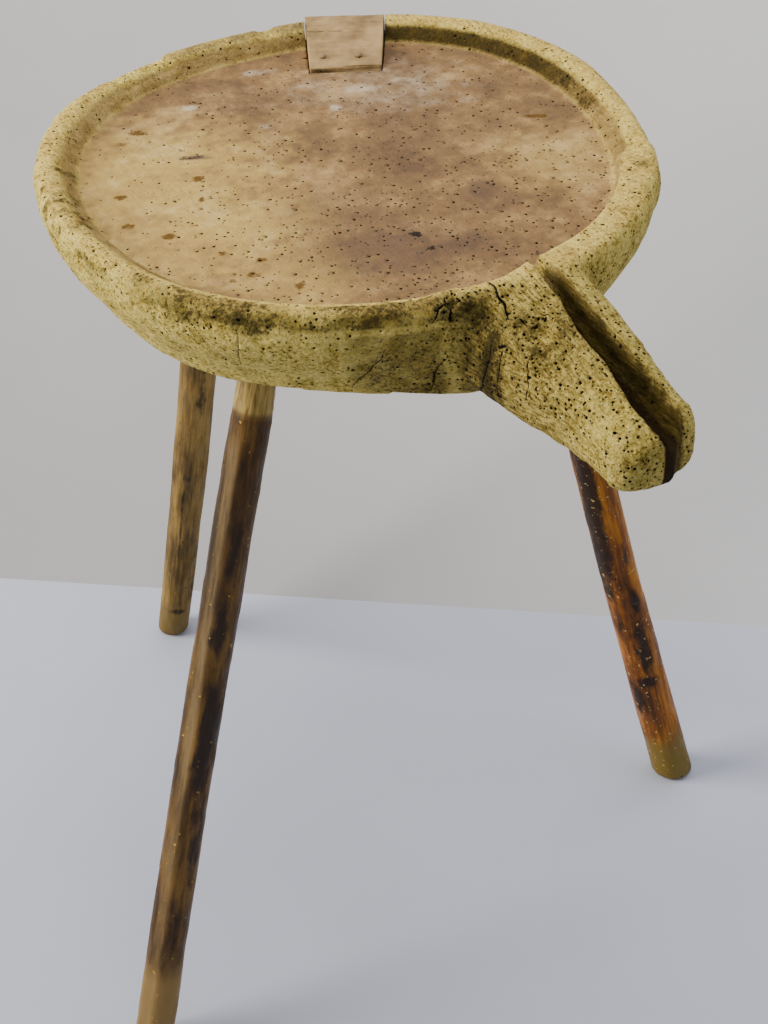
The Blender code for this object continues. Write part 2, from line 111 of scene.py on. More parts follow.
def lattice(key: np.ndarray, seed: int) -> np.ndarray:
    """Value from 0 to 1 for each whole-numbered point of a lattice.

    Args:
        key: Whole numbers, one row of three for each point.
        seed: Picks one of many patterns.

    Returns:
        One value for each row.
    """
    mixed = key[:, 0] * 73856093 ^ key[:, 1] * 19349663 ^ key[:, 2] * 83492791 ^ seed * 1274126177
    mixed &= 0x7FFFFFFF
    mixed = (mixed ^ (mixed >> 15)) * 2246822519 & 0x7FFFFFFF
    mixed = (mixed ^ (mixed >> 13)) * 3266489917 & 0x7FFFFFFF
    return ((mixed >> 8) & 0xFFFF) / 0xFFFF


def noise(points: np.ndarray, size: float, seed: int) -> np.ndarray:
    """Smooth noise.

    Args:
        points: Positions, one row of three for each.
        size: Width of its lumps in metres.
        seed: Picks one of many patterns.

    Returns:
        A value from -1 to 1 for each point.
    """
    cell = points / size + seed * 7.31
    base = np.floor(cell).astype(np.int64)
    share = smooth(cell - base)
    total = np.zeros(len(points))
    for corner in itertools.product((0, 1), repeat=3):
        weight = np.prod(np.where(corner, share, 1 - share), axis=1)
        total += weight * lattice(base + np.array(corner), seed)
    return total * 2 - 1


def rough(points: np.ndarray, size: float, seed: int, layers: int = 3) -> np.ndarray:
    """Noise with finer and finer layers, each half the size and strength of the last."""
    total = np.zeros(len(points))
    for layer in range(layers):
        total += noise(points, size / 2**layer, seed + 11 * layer) / 2**layer
    return total / (2 - 2 ** (1 - layers))


def facets(points: np.ndarray, size: float, seed: int) -> np.ndarray:
    """Height of flat tool cuts about this wide, each tilted its own way.

    Args:
        points: Positions, one row of three for each.
        size: Width of a cut in metres.
        seed: Picks one of many patterns.

    Returns:
        A height from about -1 to 1 for each point.
    """
    cell = points / size
    base = np.floor(cell).astype(np.int64)
    nearest = np.full(len(points), np.inf)
    height = np.zeros(len(points))
    for corner in itertools.product((-1, 0, 1), repeat=3):
        key = base + np.array(corner)
        middle = key + np.stack([lattice(key, seed + axis) for axis in range(3)], axis=1)
        offset = cell - middle
        distance = np.sum(offset**2, axis=1)
        tilt = np.stack([lattice(key, seed + 3 + axis) for axis in range(3)], axis=1) * 2 - 1
        closer = distance < nearest
        nearest = np.where(closer, distance, nearest)
        height = np.where(closer, np.sum(offset * tilt, axis=1), height)
    return height


# Meshes


def join_rings(bm: bmesh.types.BMesh, rings: list[list[bmesh.types.BMVert]]) -> None:
    """Makes faces between rings of vertices, one after the other. A ring of one vertex is a point."""
    for below, above in itertools.pairwise(rings):
        count = max(len(below), len(above))
        for i in range(count):
            j = (i + 1) % count
            corners = [below[i % len(below)], below[j % len(below)], above[j % len(above)], above[i % len(above)]]
            bm.faces.new(list(dict.fromkeys(corners)))


def finish_mesh(name: str, bm: bmesh.types.BMesh) -> bpy.types.Mesh:
    """Turns a bmesh into a mesh whose faces point outwards, and frees the bmesh."""
    bmesh.ops.remove_doubles(bm, verts=bm.verts, dist=1e-6)
    bmesh.ops.recalc_face_normals(bm, faces=bm.faces)
    mesh = bpy.data.meshes.new(name)
    bm.to_mesh(mesh)
    bm.free()
    return mesh


def lofted(name: str, sections: list[list[Vector]]) -> bpy.types.Mesh:
    """Closed mesh through sections of equal length.

    Args:
        name: Name of the mesh.
        sections: Rings of points. A first or last ring may be a single point; any other end is flat.

    Returns:
        The mesh.
    """
    bm = bmesh.new()
    rings = [[bm.verts.new(point) for point in section] for section in sections]
    join_rings(bm, rings)
    for ring in (rings[0], rings[-1]):
        if len(ring) > 2:
            bm.faces.new(ring)
    return finish_mesh(name, bm)


def circle(centre: Vector, across: Matrix, radius: float, sides: int) -> list[Vector]:
    """Points round a centre, in the plane of the first two axes of a frame."""
    turns = [math.tau * i / sides for i in range(sides)]
    return [centre + across @ Vector((radius * math.cos(a), radius * math.sin(a), 0.0)) for a in turns]


def placed(name: str, mesh: bpy.types.Mesh) -> bpy.types.Object:
    """Object of a mesh, linked to the scene."""
    made = bpy.data.objects.new(name, mesh)
    bpy.context.scene.collection.objects.link(made)
    return made


def settle(obj: bpy.types.Object) -> None:
    """Makes an object's modifiers part of its mesh and removes them."""
    graph = bpy.context.evaluated_depsgraph_get()
    mesh = bpy.data.meshes.new_from_object(obj.evaluated_get(graph))
    obj.modifiers.clear()
    old = obj.data
    obj.data = mesh
    bpy.data.meshes.remove(old)
    mesh.name = obj.name


def combine(obj: bpy.types.Object, operation: str, other: bpy.types.Object, solver: str = "MANIFOLD") -> None:
    """Boolean of an object with another, which is used up.

    Args:
        obj: The object that changes.
        operation: UNION, DIFFERENCE or INTERSECT.
        other: The object that is added or taken away. Faces that it cuts keep its material.
        solver: Blender's name of the solver.
    """
    modifier = obj.modifiers.new("combine", "BOOLEAN")
    modifier.operation = operation
    modifier.object = other
    modifier.solver = solver
    modifier.material_mode = "TRANSFER"
    settle(obj)
    bpy.data.objects.remove(other)


def remeshed(obj: bpy.types.Object, voxel: float, soften: int) -> None:
    """Gives an object an even fine mesh, then softens the corners that wear takes first.

    Args:
        obj: The object, closed.
        voxel: Width of the new faces in metres.
        soften: Passes of smoothing.
    """
    modifier = obj.modifiers.new("even", "REMESH")
    modifier.mode = "VOXEL"
    modifier.voxel_size = voxel
    modifier.use_smooth_shade = True
    soft = obj.modifiers.new("soften", "SMOOTH")
    soft.factor = 0.5
    soft.iterations = soften
    settle(obj)


def read_points(mesh: bpy.types.Mesh) -> np.ndarray:
    """Positions of a mesh's vertices, one row each."""
    flat = np.empty(len(mesh.vertices) * 3, np.float32)
    mesh.vertices.foreach_get("co", flat)
    return flat.reshape(-1, 3).astype(float)


def read_normals(mesh: bpy.types.Mesh) -> np.ndarray:
    """Normals of a mesh's vertices, one row each."""
    flat = np.empty(len(mesh.vertices) * 3, np.float32)
    mesh.vertex_normals.foreach_get("vector", flat)
    return flat.reshape(-1, 3).astype(float)


def write_points(mesh: bpy.types.Mesh, points: np.ndarray) -> None:
    """Moves a mesh's vertices to new positions."""
    mesh.vertices.foreach_set("co", points.astype(np.float32).ravel())
    mesh.update()


def paint(mesh: bpy.types.Mesh, name: str, layers: list[np.ndarray]) -> None:
    """Stores up to four masks from 0 to 1 as the channels of a colour attribute on a mesh's vertices."""
    colours = np.zeros((len(mesh.vertices), 4), np.float32)
    for channel, layer in enumerate(layers):
        colours[:, channel] = layer
    attribute = mesh.color_attributes.new(name, "FLOAT_COLOR", "POINT")
    attribute.data.foreach_set("color", np.clip(colours, 0.0, 1.0).ravel())


# Node trees

MATH, MIX, RAMP, RANGE = "ShaderNodeMath", "ShaderNodeMix", "ShaderNodeValToRGB", "ShaderNodeMapRange"
NOISE, CELLS, MAPPING = "ShaderNodeTexNoise", "ShaderNodeTexVoronoi", "ShaderNodeMapping"
PLACE, PAINTED, SPLIT, BUMP = "ShaderNodeTexCoord", "ShaderNodeAttribute", "ShaderNodeSeparateColor", "ShaderNodeBump"
COLOURED: dict[str, Any] = {"output": 2, "data_type": "RGBA"}  # settings of a mix node that mixes colours


class Graph:
    """A node tree under construction."""

    def __init__(self, tree: bpy.types.NodeTree) -> None:
        """Starts with an empty tree."""
        self.tree = tree
        self.tree.nodes.clear()

    def add(
        self,
        kind: str,
        inputs: dict[int | str, Any] | None = None,
        output: int | str = 0,
        stops: Stops = (),
        **settings: Any,
    ) -> bpy.types.NodeSocket:
        """Adds a node with its settings and links.

        Args:
            kind: Type name of the node.
            inputs: Value or socket for each input, by name or number.
            output: The output to hand back, by name or number.
            stops: Position and sRGB hex colour of each stop, for a node with a colour ramp.
            **settings: Properties of the node.

        Returns:
            The chosen output socket, or the node's first input where it has no output.
        """
        node = self.tree.nodes.new(kind)
        node.location = (NODE_SPACING * len(self.tree.nodes), 0.0)
        for name, value in settings.items():
            setattr(node, name, value)
        for number, (position, code) in enumerate(stops):
            elements = node.color_ramp.elements
            element = elements[number] if number < len(elements) else elements.new(1.0)
            element.position = position
            element.color = srgb(code)
        for key, value in (inputs or {}).items():
            if isinstance(value, bpy.types.NodeSocket):
                self.tree.links.new(value, node.inputs[key])
            else:
                node.inputs[key].default_value = value
        return node.outputs[output] if node.outputs else node.inputs[0]

    def chain(
        self, kind: str, socket: int, first: Any, rows: Iterable[dict[int | str, Any]], **settings: Any
    ) -> bpy.types.NodeSocket:
        """Adds a row of nodes of one kind, each fed by the one before it.

        Args:
            kind: Type name of the nodes.
            socket: The input that takes what the node before hands on.
            first: What the first node takes there.
            rows: The other inputs of each node.
            **settings: Output and properties of the nodes.

        Returns:
            The output of the last node.
        """
        for row in rows:
            first = self.add(kind, {socket: first, **row}, **settings)
        return first

    def weighed(self, *parts: tuple[Any, float]) -> bpy.types.NodeSocket:
        """Sum of values, each times its weight."""
        (value, weight), *others = parts
        total = self.add(MATH, {0: value, 1: weight}, operation="MULTIPLY")
        rows = ({0: part, 1: share} for part, share in others)
        return self.chain(MATH, 2, total, rows, operation="MULTIPLY_ADD")


def new_material(name: str) -> tuple[bpy.types.Material, Graph, bpy.types.NodeSocket]:
    """New material with this name, its tree, and the Object coordinates in it."""
    material = bpy.data.materials.new(name)
    material.use_nodes = True
    graph = Graph(material.node_tree)
    return material, graph, graph.add(PLACE, output="Object")


def coated(graph: Graph, inputs: dict[int | str, Any]) -> None:
    """Ends a material's tree in a surface with these inputs."""
    graph.add("ShaderNodeOutputMaterial", {"Surface": graph.add("ShaderNodeBsdfPrincipled", inputs)})


# The place of everything


@dataclass(frozen=True)
class Setting:
    """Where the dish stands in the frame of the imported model."""

    toe_reach: float = 0.1743  # from the dish's axis to the inner end of the rim patch

    def axis(self) -> Vector:
        """Point on the dish's axis at the height of the rim."""
        low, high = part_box("rim_patch")
        return Vector(((low.x + high.x) / 2, low.y - self.toe_reach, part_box("tray")[1].z))


def polar(radius: float, azimuth: float, z: float = 0.0) -> Vector:
    """Point at this radius and azimuth in degrees about the dish's axis."""
    angle = math.radians(azimuth)
    return Vector((radius * math.cos(angle), radius * math.sin(angle), z))


# Woods and iron


class Grain(Enum):
    """Way the fibres of a piece run, as the stretch of its pattern along X, Y and Z."""

    ACROSS = (0.08, 1.0, 1.0)  # across the back of the rim
    POLE = (1.0, 1.0, 0.08)  # along a pole


@dataclass(frozen=True)
class SlabWood:
    """Bleached, worm-eaten slab wood: sun and brine have taken its colour, so it is pale khaki outside and
    buff to grey-brown where the dish is worn. It is dull all over, pitted, and full of pinholes."""

    name: str = "bleached_worm_eaten_slab_wood"
    weathered: Stops = ((0.36, "#66501a"), (0.43, "#b2983f"), (0.50, "#d8c062"), (0.58, "#eed678"))
    ochre: Stops = ((0.39, "#624e1b"), (0.47, "#a38a3c"), (0.56, "#cfb864"))
    worn: Stops = ((0.38, "#634c34"), (0.51, "#80623e"), (0.64, "#a98858"))
    yellowed: Stops = ((0.37, "#9b7c45"), (0.50, "#b3944f"), (0.63, "#c4aa6c"))
    # Dark and lit colours of the inner wall: it takes the dark ones where it is painted in shade at the back.
    grubby_and_shaded: Stops = ((0.42, "#3f3310"), (0.56, "#66501a"), (0.74, "#7c6030"))
    clean_and_lit: Stops = ((0.38, "#7c6030"), (0.48, "#9d8146"), (0.58, "#b99d5f"))
    rubbed: Stops = ((0.36, "#8a7136"), (0.46, "#d0ae58"), (0.58, "#ead074"))
    umber: str = "#66501a"
    violet: str = "#523f33"
    chalk: str = "#b9a88e"
    # Mouldy green-brown, also the painted shade on the back wall, in the groove, along the floor's edge, in the corner
    # by the spout and on the front.
    mould_and_shade: str = "#3f3310"
    rust: str = "#5c3e0a"
    # Near-black of knot hearts and dark spots, and the painted shade inside pinholes.
    char_and_hole_shade: str = "#120b03"
    # Painted shade deep in the groove, over its darker inner wood.
    groove: str = "#301e06"
    fibre: float = 0.0011  # width of a fibre bundle in metres
    pit: float = 0.0030  # spacing of the weather pits in metres
    pinhole: float = 0.0044  # spacing of the pinholes in metres
    dust: float = 0.0012  # width of the finest speckle in metres
    grain_turn: float = 63.5  # turns the pattern so that its X runs along the spout, as the fibres do
    away: tuple[float, float, float] = (3.7, 5.1, 2.3)  # noise repeats itself in rays round its origin

    def stained(
        self, graph: Graph, colour: Any, mask: Any, ragged: Any, code: str, low: float, high: float
    ) -> bpy.types.NodeSocket:
        """Lays a mark over a colour, with an edge that creeps along the finer noise. Its marks are stains and painted
        shade.

        Args:
            graph: The tree.
            colour: What lies under the stain.
            mask: Strength of the mark from 0 to 1.
            ragged: Noise that breaks its edge up.
            code: Its sRGB hex colour.
            low: Strength at which it begins to show.
            high: Strength at which it covers.

        Returns:
            The colour with the mark on it.
        """
        centred = graph.add(MATH, {0: ragged, 1: 0.5}, operation="SUBTRACT")
        uneven = graph.add(MATH, {0: centred, 1: 2.0}, operation="MULTIPLY")
        uneven = graph.add(MATH, {0: uneven, 1: mask, 2: mask}, operation="MULTIPLY_ADD")
        limits = {"Value": uneven, "From Min": low, "From Max": high, "To Max": 0.94}
        share = graph.add(RANGE, limits, interpolation_type="SMOOTHSTEP")
        return graph.add(MIX, {0: share, 6: colour, 7: srgb(code)}, **COLOURED)

    def dotted(
        self,
        graph: Graph,
        place: Any,
        spacing: float,
        sizes: tuple[float, float],
        edge: tuple[float, float],
        share: Any,
    ) -> bpy.types.NodeSocket:
        """Scatters round dots: a cell has one only where the cell's random number falls under the share.

        Args:
            graph: The tree.
            place: Where the pattern is read.
            spacing: Distance between dots in metres.
            sizes: Smallest and largest dot, as a share of the spacing.
            edge: Depths inside a dot at which it begins and is full.
            share: Share of the cells that have a dot.

        Returns:
            1 inside a dot, falling to 0 at its edge.
        """
        cells = graph.add(CELLS, {"Vector": place, "Scale": 1 / spacing}).node.outputs
        number = graph.add(SPLIT, {0: cells["Color"]}).node.outputs
        size = graph.add(RANGE, {"Value": number[1], "To Min": sizes[0], "To Max": sizes[1]})
        depth = graph.add(MATH, {0: size, 1: cells["Distance"]}, operation="SUBTRACT")
        depth = graph.add(RANGE, {"Value": depth, "From Min": edge[0], "From Max": edge[1]})
        chosen = graph.add(MATH, {0: number[0], 1: share}, operation="LESS_THAN")
        return graph.add(MATH, {0: depth, 1: chosen}, operation="MULTIPLY")

    def build(self, axis: Vector) -> bpy.types.Material:
        """Material that reads the masks painted on the slab.

        Args:
            axis: Point on the dish's axis at the height of the rim.

        Returns:
            The material.
        """
        material, graph, place = new_material(self.name)
        shift = tuple(far - near for far, near in zip(self.away, axis, strict=True))
        about = graph.add(MAPPING, {"Vector": place, "Location": shift})
        turned = graph.add(MAPPING, {"Vector": about, "Rotation": (0.0, 0.0, math.radians(self.grain_turn))})
        painted = [
            graph.add(SPLIT, {0: graph.add(PAINTED, attribute_name=name)}).node.outputs
            for name in ("zones", "marks", "grime_and_shade", "wear")
        ]
        # hollow is the painted shade in the groove.
        (floor, wall, crest), (rust, violet, buff), (mould_and_shade, dark, spout), (worm, hollow, pitted) = painted
        chalk = graph.add(PAINTED, output="Alpha", attribute_name="marks")

        clouds, blotches, specks = (
            graph.add(NOISE, {"Vector": about, "Scale": scale, "Detail": detail, "Roughness": roughness})
            for scale, detail, roughness in ((14.0, 6.0, 0.62), (62.0, 6.0, 0.66), (0.35 / self.dust, 4.0, 0.72))
        )
        drawn_out = graph.add(MAPPING, {"Vector": turned, "Scale": (0.10, 1.0, 1.0)})
        pattern = {"Vector": drawn_out, "Scale": 0.5 / self.fibre, "Detail": 4.0, "Roughness": 0.65, "Distortion": 0.4}
        fibre = graph.add(NOISE, pattern)

        outside_tone = graph.weighed((blotches, 0.4), (specks, 0.6))
        ridge_tone = graph.weighed((fibre, 0.45), (specks, 0.40), (blotches, 0.15))
        floor_tone = graph.weighed((clouds, 0.55), (blotches, 0.45))
        weathered, ochre, worn, yellowed, grubby_and_shaded, clean_and_lit, rubbed = (
            graph.add(RAMP, {0: tone}, stops=stops)
            for tone, stops in (
                (outside_tone, self.weathered),
                (ridge_tone, self.ochre),
                (floor_tone, self.worn),
                (floor_tone, self.yellowed),
                (floor_tone, self.grubby_and_shaded),
                (floor_tone, self.clean_and_lit),
                (outside_tone, self.rubbed),
            )
        )
        # On the inner wall the buff channel sets painted shade against the lit colours.
        spout_wood, wall_wood, floor_wood = (
            graph.add(MIX, {0: buff, 6: dull, 7: fresh}, **COLOURED)
            for dull, fresh in ((ochre, weathered), (grubby_and_shaded, clean_and_lit), (worn, yellowed))
        )
        zones = ((spout, spout_wood), (wall, wall_wood), (crest, rubbed), (floor, floor_wood))
        colour = graph.chain(MIX, 6, weathered, ({0: zone, 7: wood} for zone, wood in zones), **COLOURED)
        for mask, ragged, code, low, high in (
            (violet, blotches, self.violet, 0.15, 1.1),
            (chalk, blotches, self.chalk, 0.2, 1.1),
            (mould_and_shade, specks, self.mould_and_shade, 0.35, 0.8),
            (rust, specks, self.rust, 0.30, 0.80),
            # Painted shade in the groove.
            (hollow, blotches, self.groove, 0.05, 0.6),
            (dark, specks, self.char_and_hole_shade, 0.4, 0.7),
        ):
            colour = self.stained(graph, colour, mask, ragged, code, low, high)

        # Fibres show most where the weather has opened the wood.
        open_wood = graph.add(RANGE, {"Value": floor, "To Min": 1.0, "To Max": 0.35})
        limits = {"Value": fibre, "From Min": 0.38, "From Max": 0.6, "To Min": 0.7, "To Max": 1.08}
        fibre_shade = graph.add(RANGE, limits)
        fibre_share = graph.add(MATH, {0: open_wood, 1: 0.8}, operation="MULTIPLY")
        shading = {0: fibre_share, 6: colour, 7: fibre_shade}
        colour = graph.add(MIX, shading, blend_type="MULTIPLY", **COLOURED)

        # Weather pits, and the pinholes of young beetles that are too fine to bore, painted near-black for the shade
        # inside them.
        pits = self.dotted(graph, turned, self.pit, (0.16, 0.42), (-0.04, 0.16), pitted)
        pit_share = graph.add(MATH, {0: pits, 1: 0.8}, operation="MULTIPLY")
        bitten = graph.add(MATH, {0: worm, 1: 1.25}, operation="MULTIPLY")
        pins = self.dotted(graph, about, self.pinhole, (0.13, 0.26), (-0.02, 0.03), bitten)
        marks = ({0: pit_share, 7: srgb(self.umber)}, {0: pins, 7: srgb(self.char_and_hole_shade)})
        colour = graph.chain(MIX, 6, colour, marks, **COLOURED)

        ridges = graph.add(MATH, {0: spout, 1: 1.9, 2: 0.6}, operation="MULTIPLY_ADD")
        relief = graph.weighed((fibre, ridges), (specks, 1.6), (blotches, 1.2), (pits, -0.9), (pins, -1.2))
        bump = graph.add(BUMP, {"Height": relief, "Strength": open_wood, "Distance": 0.0026})
        dull = graph.add(RANGE, {"Value": floor, "To Min": 0.92, "To Max": 0.72})
        coated(graph, {"Base Color": colour, "Roughness": dull, "Normal": bump, "IOR": WOOD_IOR, SPECULAR: 0.18})
        return material


@dataclass(frozen=True)
class BoredWood:
    """Inside of a beetle's flight hole or of a shake: raw brown wood, painted almost black for the shade deep inside.
    """

    name: str = "bored_wood_in_painted_shade"
    tones: Stops = ((0.35, "#0d0702"), (0.65, "#1d1104"))

    def build(self) -> bpy.types.Material:
        """Plain dark material with a little grain."""
        material, graph, place = new_material(self.name)
        dust = graph.add(NOISE, {"Vector": place, "Scale": 900.0, "Detail": 2.0})
        colour = graph.add(RAMP, {0: dust}, stops=self.tones)
        coated(graph, {"Base Color": colour, "Roughness": 0.95, "IOR": WOOD_IOR})
        return material


@dataclass(frozen=True)
class PlankWood:
    """Riven wood of the patch and the wedges: straight fibres, worn to a dull sheen by hands."""

    name: str
    tones: Stops
    grain: Grain = Grain.ACROSS
    ring: float = 0.0022  # width of a year ring in metres
    figure: float = 0.45  # share of the tone that follows the rings
    # Soiling in the patch's crack, and painted shade along its toe and low in its seat.
    dirt_and_shade: str = "#3c3014"

    def build(self) -> bpy.types.Material:
        """Material with fibres along the grain and faint year rings."""
        material, graph, place = new_material(self.name)
        stretched = graph.add(MAPPING, {"Vector": place, "Scale": self.grain.value})
        rings, clouds = (
            graph.add(NOISE, {"Vector": vector, "Scale": scale, "Detail": 5.0, "Roughness": 0.6})
            for vector, scale in ((stretched, 0.6 / self.ring), (place, 38.0))
        )
        tone = graph.weighed((rings, self.figure), (clouds, 1 - self.figure))
        colour = graph.add(RAMP, {0: tone}, stops=self.tones)
        grime_and_shade = graph.add(SPLIT, {0: graph.add(PAINTED, attribute_name="grime_and_shade")})
        dirt_and_shade_share = graph.add(RANGE, {"Value": grime_and_shade, "From Min": 0.35, "From Max": 0.75, "To Max": 0.85})
        colour = graph.add(MIX, {0: dirt_and_shade_share, 6: colour, 7: srgb(self.dirt_and_shade)}, **COLOURED)
        bump = graph.add(BUMP, {"Height": rings, "Strength": self.figure, "Distance": 0.0006})
        coated(graph, {"Base Color": colour, "Roughness": 0.68, "Normal": bump, "IOR": WOOD_IOR, SPECULAR: 0.2})
        return material


@dataclass(frozen=True)
class PoleWood:
    """Stripped hazel-like pole with years of hand grease and smoke: streaks along its length, blackened
    patches, pale flecks, a low sheen, a bare shaved stretch at the slab and a scuffed foot."""

    name: str
    bare: str  # shaved wood at the top
    rubbed: str  # pale strip along the planed flat: a painted highlight
    light: str
    body: str
    dark: str
    scorch: str
    foot: str
    fleck: str
    scorched: float  # how readily it blackens away from the painted patches
    flecked: float  # share that carries pale flecks
    sheen: float  # roughness
    shift: float = 0.0  # offset of the pattern, so that no two poles match

    def build(self, turn: Matrix) -> bpy.types.Material:
        """Material whose grain runs along the pole.

        Args:
            turn: Rotation that stands the pole upright.

        Returns:
            The material.
        """
        material, graph, place = new_material(self.name)
        shift = (self.shift, self.shift * 0.7, self.shift * 1.3)
        upright = graph.add(MAPPING, {"Vector": place, "Rotation": tuple(turn.to_euler()), "Location": shift})
        wear = graph.add(PAINTED, attribute_name="wear")
        bare, rubbed, dark = graph.add(SPLIT, {0: wear}).node.outputs
        foot = wear.node.outputs["Alpha"]
        streaks, bands, patches = (
            graph.add(
                NOISE,
                {
                    "Vector": graph.add(MAPPING, {"Vector": upright, "Scale": (1.0, 1.0, along)}),
                    "Scale": scale,
                    "Detail": detail,
                    "Roughness": roughness,
                },
            )
            for along, scale, detail, roughness in (
                (0.06, 330.0, 5.0, 0.65),
                (0.25, 42.0, 6.0, 0.62),
                (0.4, 95.0, 6.0, 0.66),
            )
        )
        specks = graph.add(NOISE, {"Vector": upright, "Scale": 230.0, "Detail": 2.0, "Roughness": 0.5})
        tone = graph.weighed((bands, 0.65), (streaks, 0.35))
        colour = graph.add(RAMP, {0: tone}, stops=((0.40, self.dark), (0.5, self.body), (0.6, self.light)))

        footed = graph.add(MATH, {0: foot, 1: 0.85}, operation="MULTIPLY")
        # Painted highlight along the planed flat.
        flat_highlight = graph.add(RANGE, {"Value": tone, "From Min": 0.38, "From Max": 0.54, "To Min": 0.35})
        flat_highlight = graph.add(MATH, {0: rubbed, 1: flat_highlight}, operation="MULTIPLY")
        blackness = graph.add(MATH, {0: patches, 1: 1.5, 2: dark}, operation="MULTIPLY_ADD")
        ready = 0.2 * self.scorched
        limits = {"Value": blackness, "From Min": 0.98 - ready, "From Max": 1.50 - ready, "To Max": 0.94}
        scorched = graph.add(RANGE, limits, interpolation_type="SMOOTHSTEP")
        rare = 0.10 * self.flecked
        limits = {"Value": specks, "From Min": 0.76 - rare, "From Max": 0.80 - rare, "To Max": 0.85}
        flecks = graph.add(RANGE, limits)
        shaved = graph.add(RAMP, {0: streaks}, stops=((0.36, self.light), (0.58, self.bare)))
        marks = (
            {0: footed, 7: srgb(self.foot)},
            {0: flat_highlight, 7: srgb(self.rubbed)},
            {0: scorched, 7: srgb(self.scorch)},
            {0: flecks, 7: srgb(self.fleck)},
            {0: bare, 7: shaved},
        )
        colour = graph.chain(MIX, 6, colour, marks, **COLOURED)

        relief = graph.add(MATH, {0: specks, 1: 0.4, 2: streaks}, operation="MULTIPLY_ADD")
        relief = graph.add(MATH, {0: patches, 1: 0.8, 2: relief}, operation="MULTIPLY_ADD")
        bump = graph.add(BUMP, {"Height": relief, "Strength": 0.6, "Distance": 0.0009})
        gloss = {"From Min": 0.4, "From Max": 0.62, "To Min": self.sheen - 0.06, "To Max": self.sheen + 0.18}
        rough_wood = graph.add(RANGE, {"Value": patches, **gloss})
        surface = {"Base Color": colour, "Roughness": rough_wood, "Normal": bump, "IOR": GREASED_IOR, SPECULAR: 0.22}
        coated(graph, surface)
        return material


@dataclass(frozen=True)
class ForgedIron:
    """Hand-forged wrought iron, so old that brown rust has almost hidden the forge scale."""

    name: str = "rusted_forged_iron"
    scale: str = "#7b6749"
    rust: str = "#866a44"

    def build(self) -> bpy.types.Material:
        """Metal under patches of rust."""
        material, graph, place = new_material(self.name)
        spots = graph.add(NOISE, {"Vector": place, "Scale": 420.0, "Detail": 4.0, "Roughness": 0.7})
        rusted = graph.add(RANGE, {"Value": spots, "From Min": 0.45, "From Max": 0.6})
        colour = graph.add(MIX, {0: rusted, 6: srgb(self.scale), 7: srgb(self.rust)}, **COLOURED)
        metal = graph.add(RANGE, {"Value": rusted, "To Min": 0.35, "To Max": 0.0})
        dull = graph.add(RANGE, {"Value": rusted, "To Min": 0.5, "To Max": 0.85})
        bump = graph.add(BUMP, {"Height": spots, "Strength": 0.6, "Distance": 0.0004})
        coated(graph, {"Base Color": colour, "Metallic": metal, "Roughness": dull, "Normal": bump})
        return material


# Flight holes


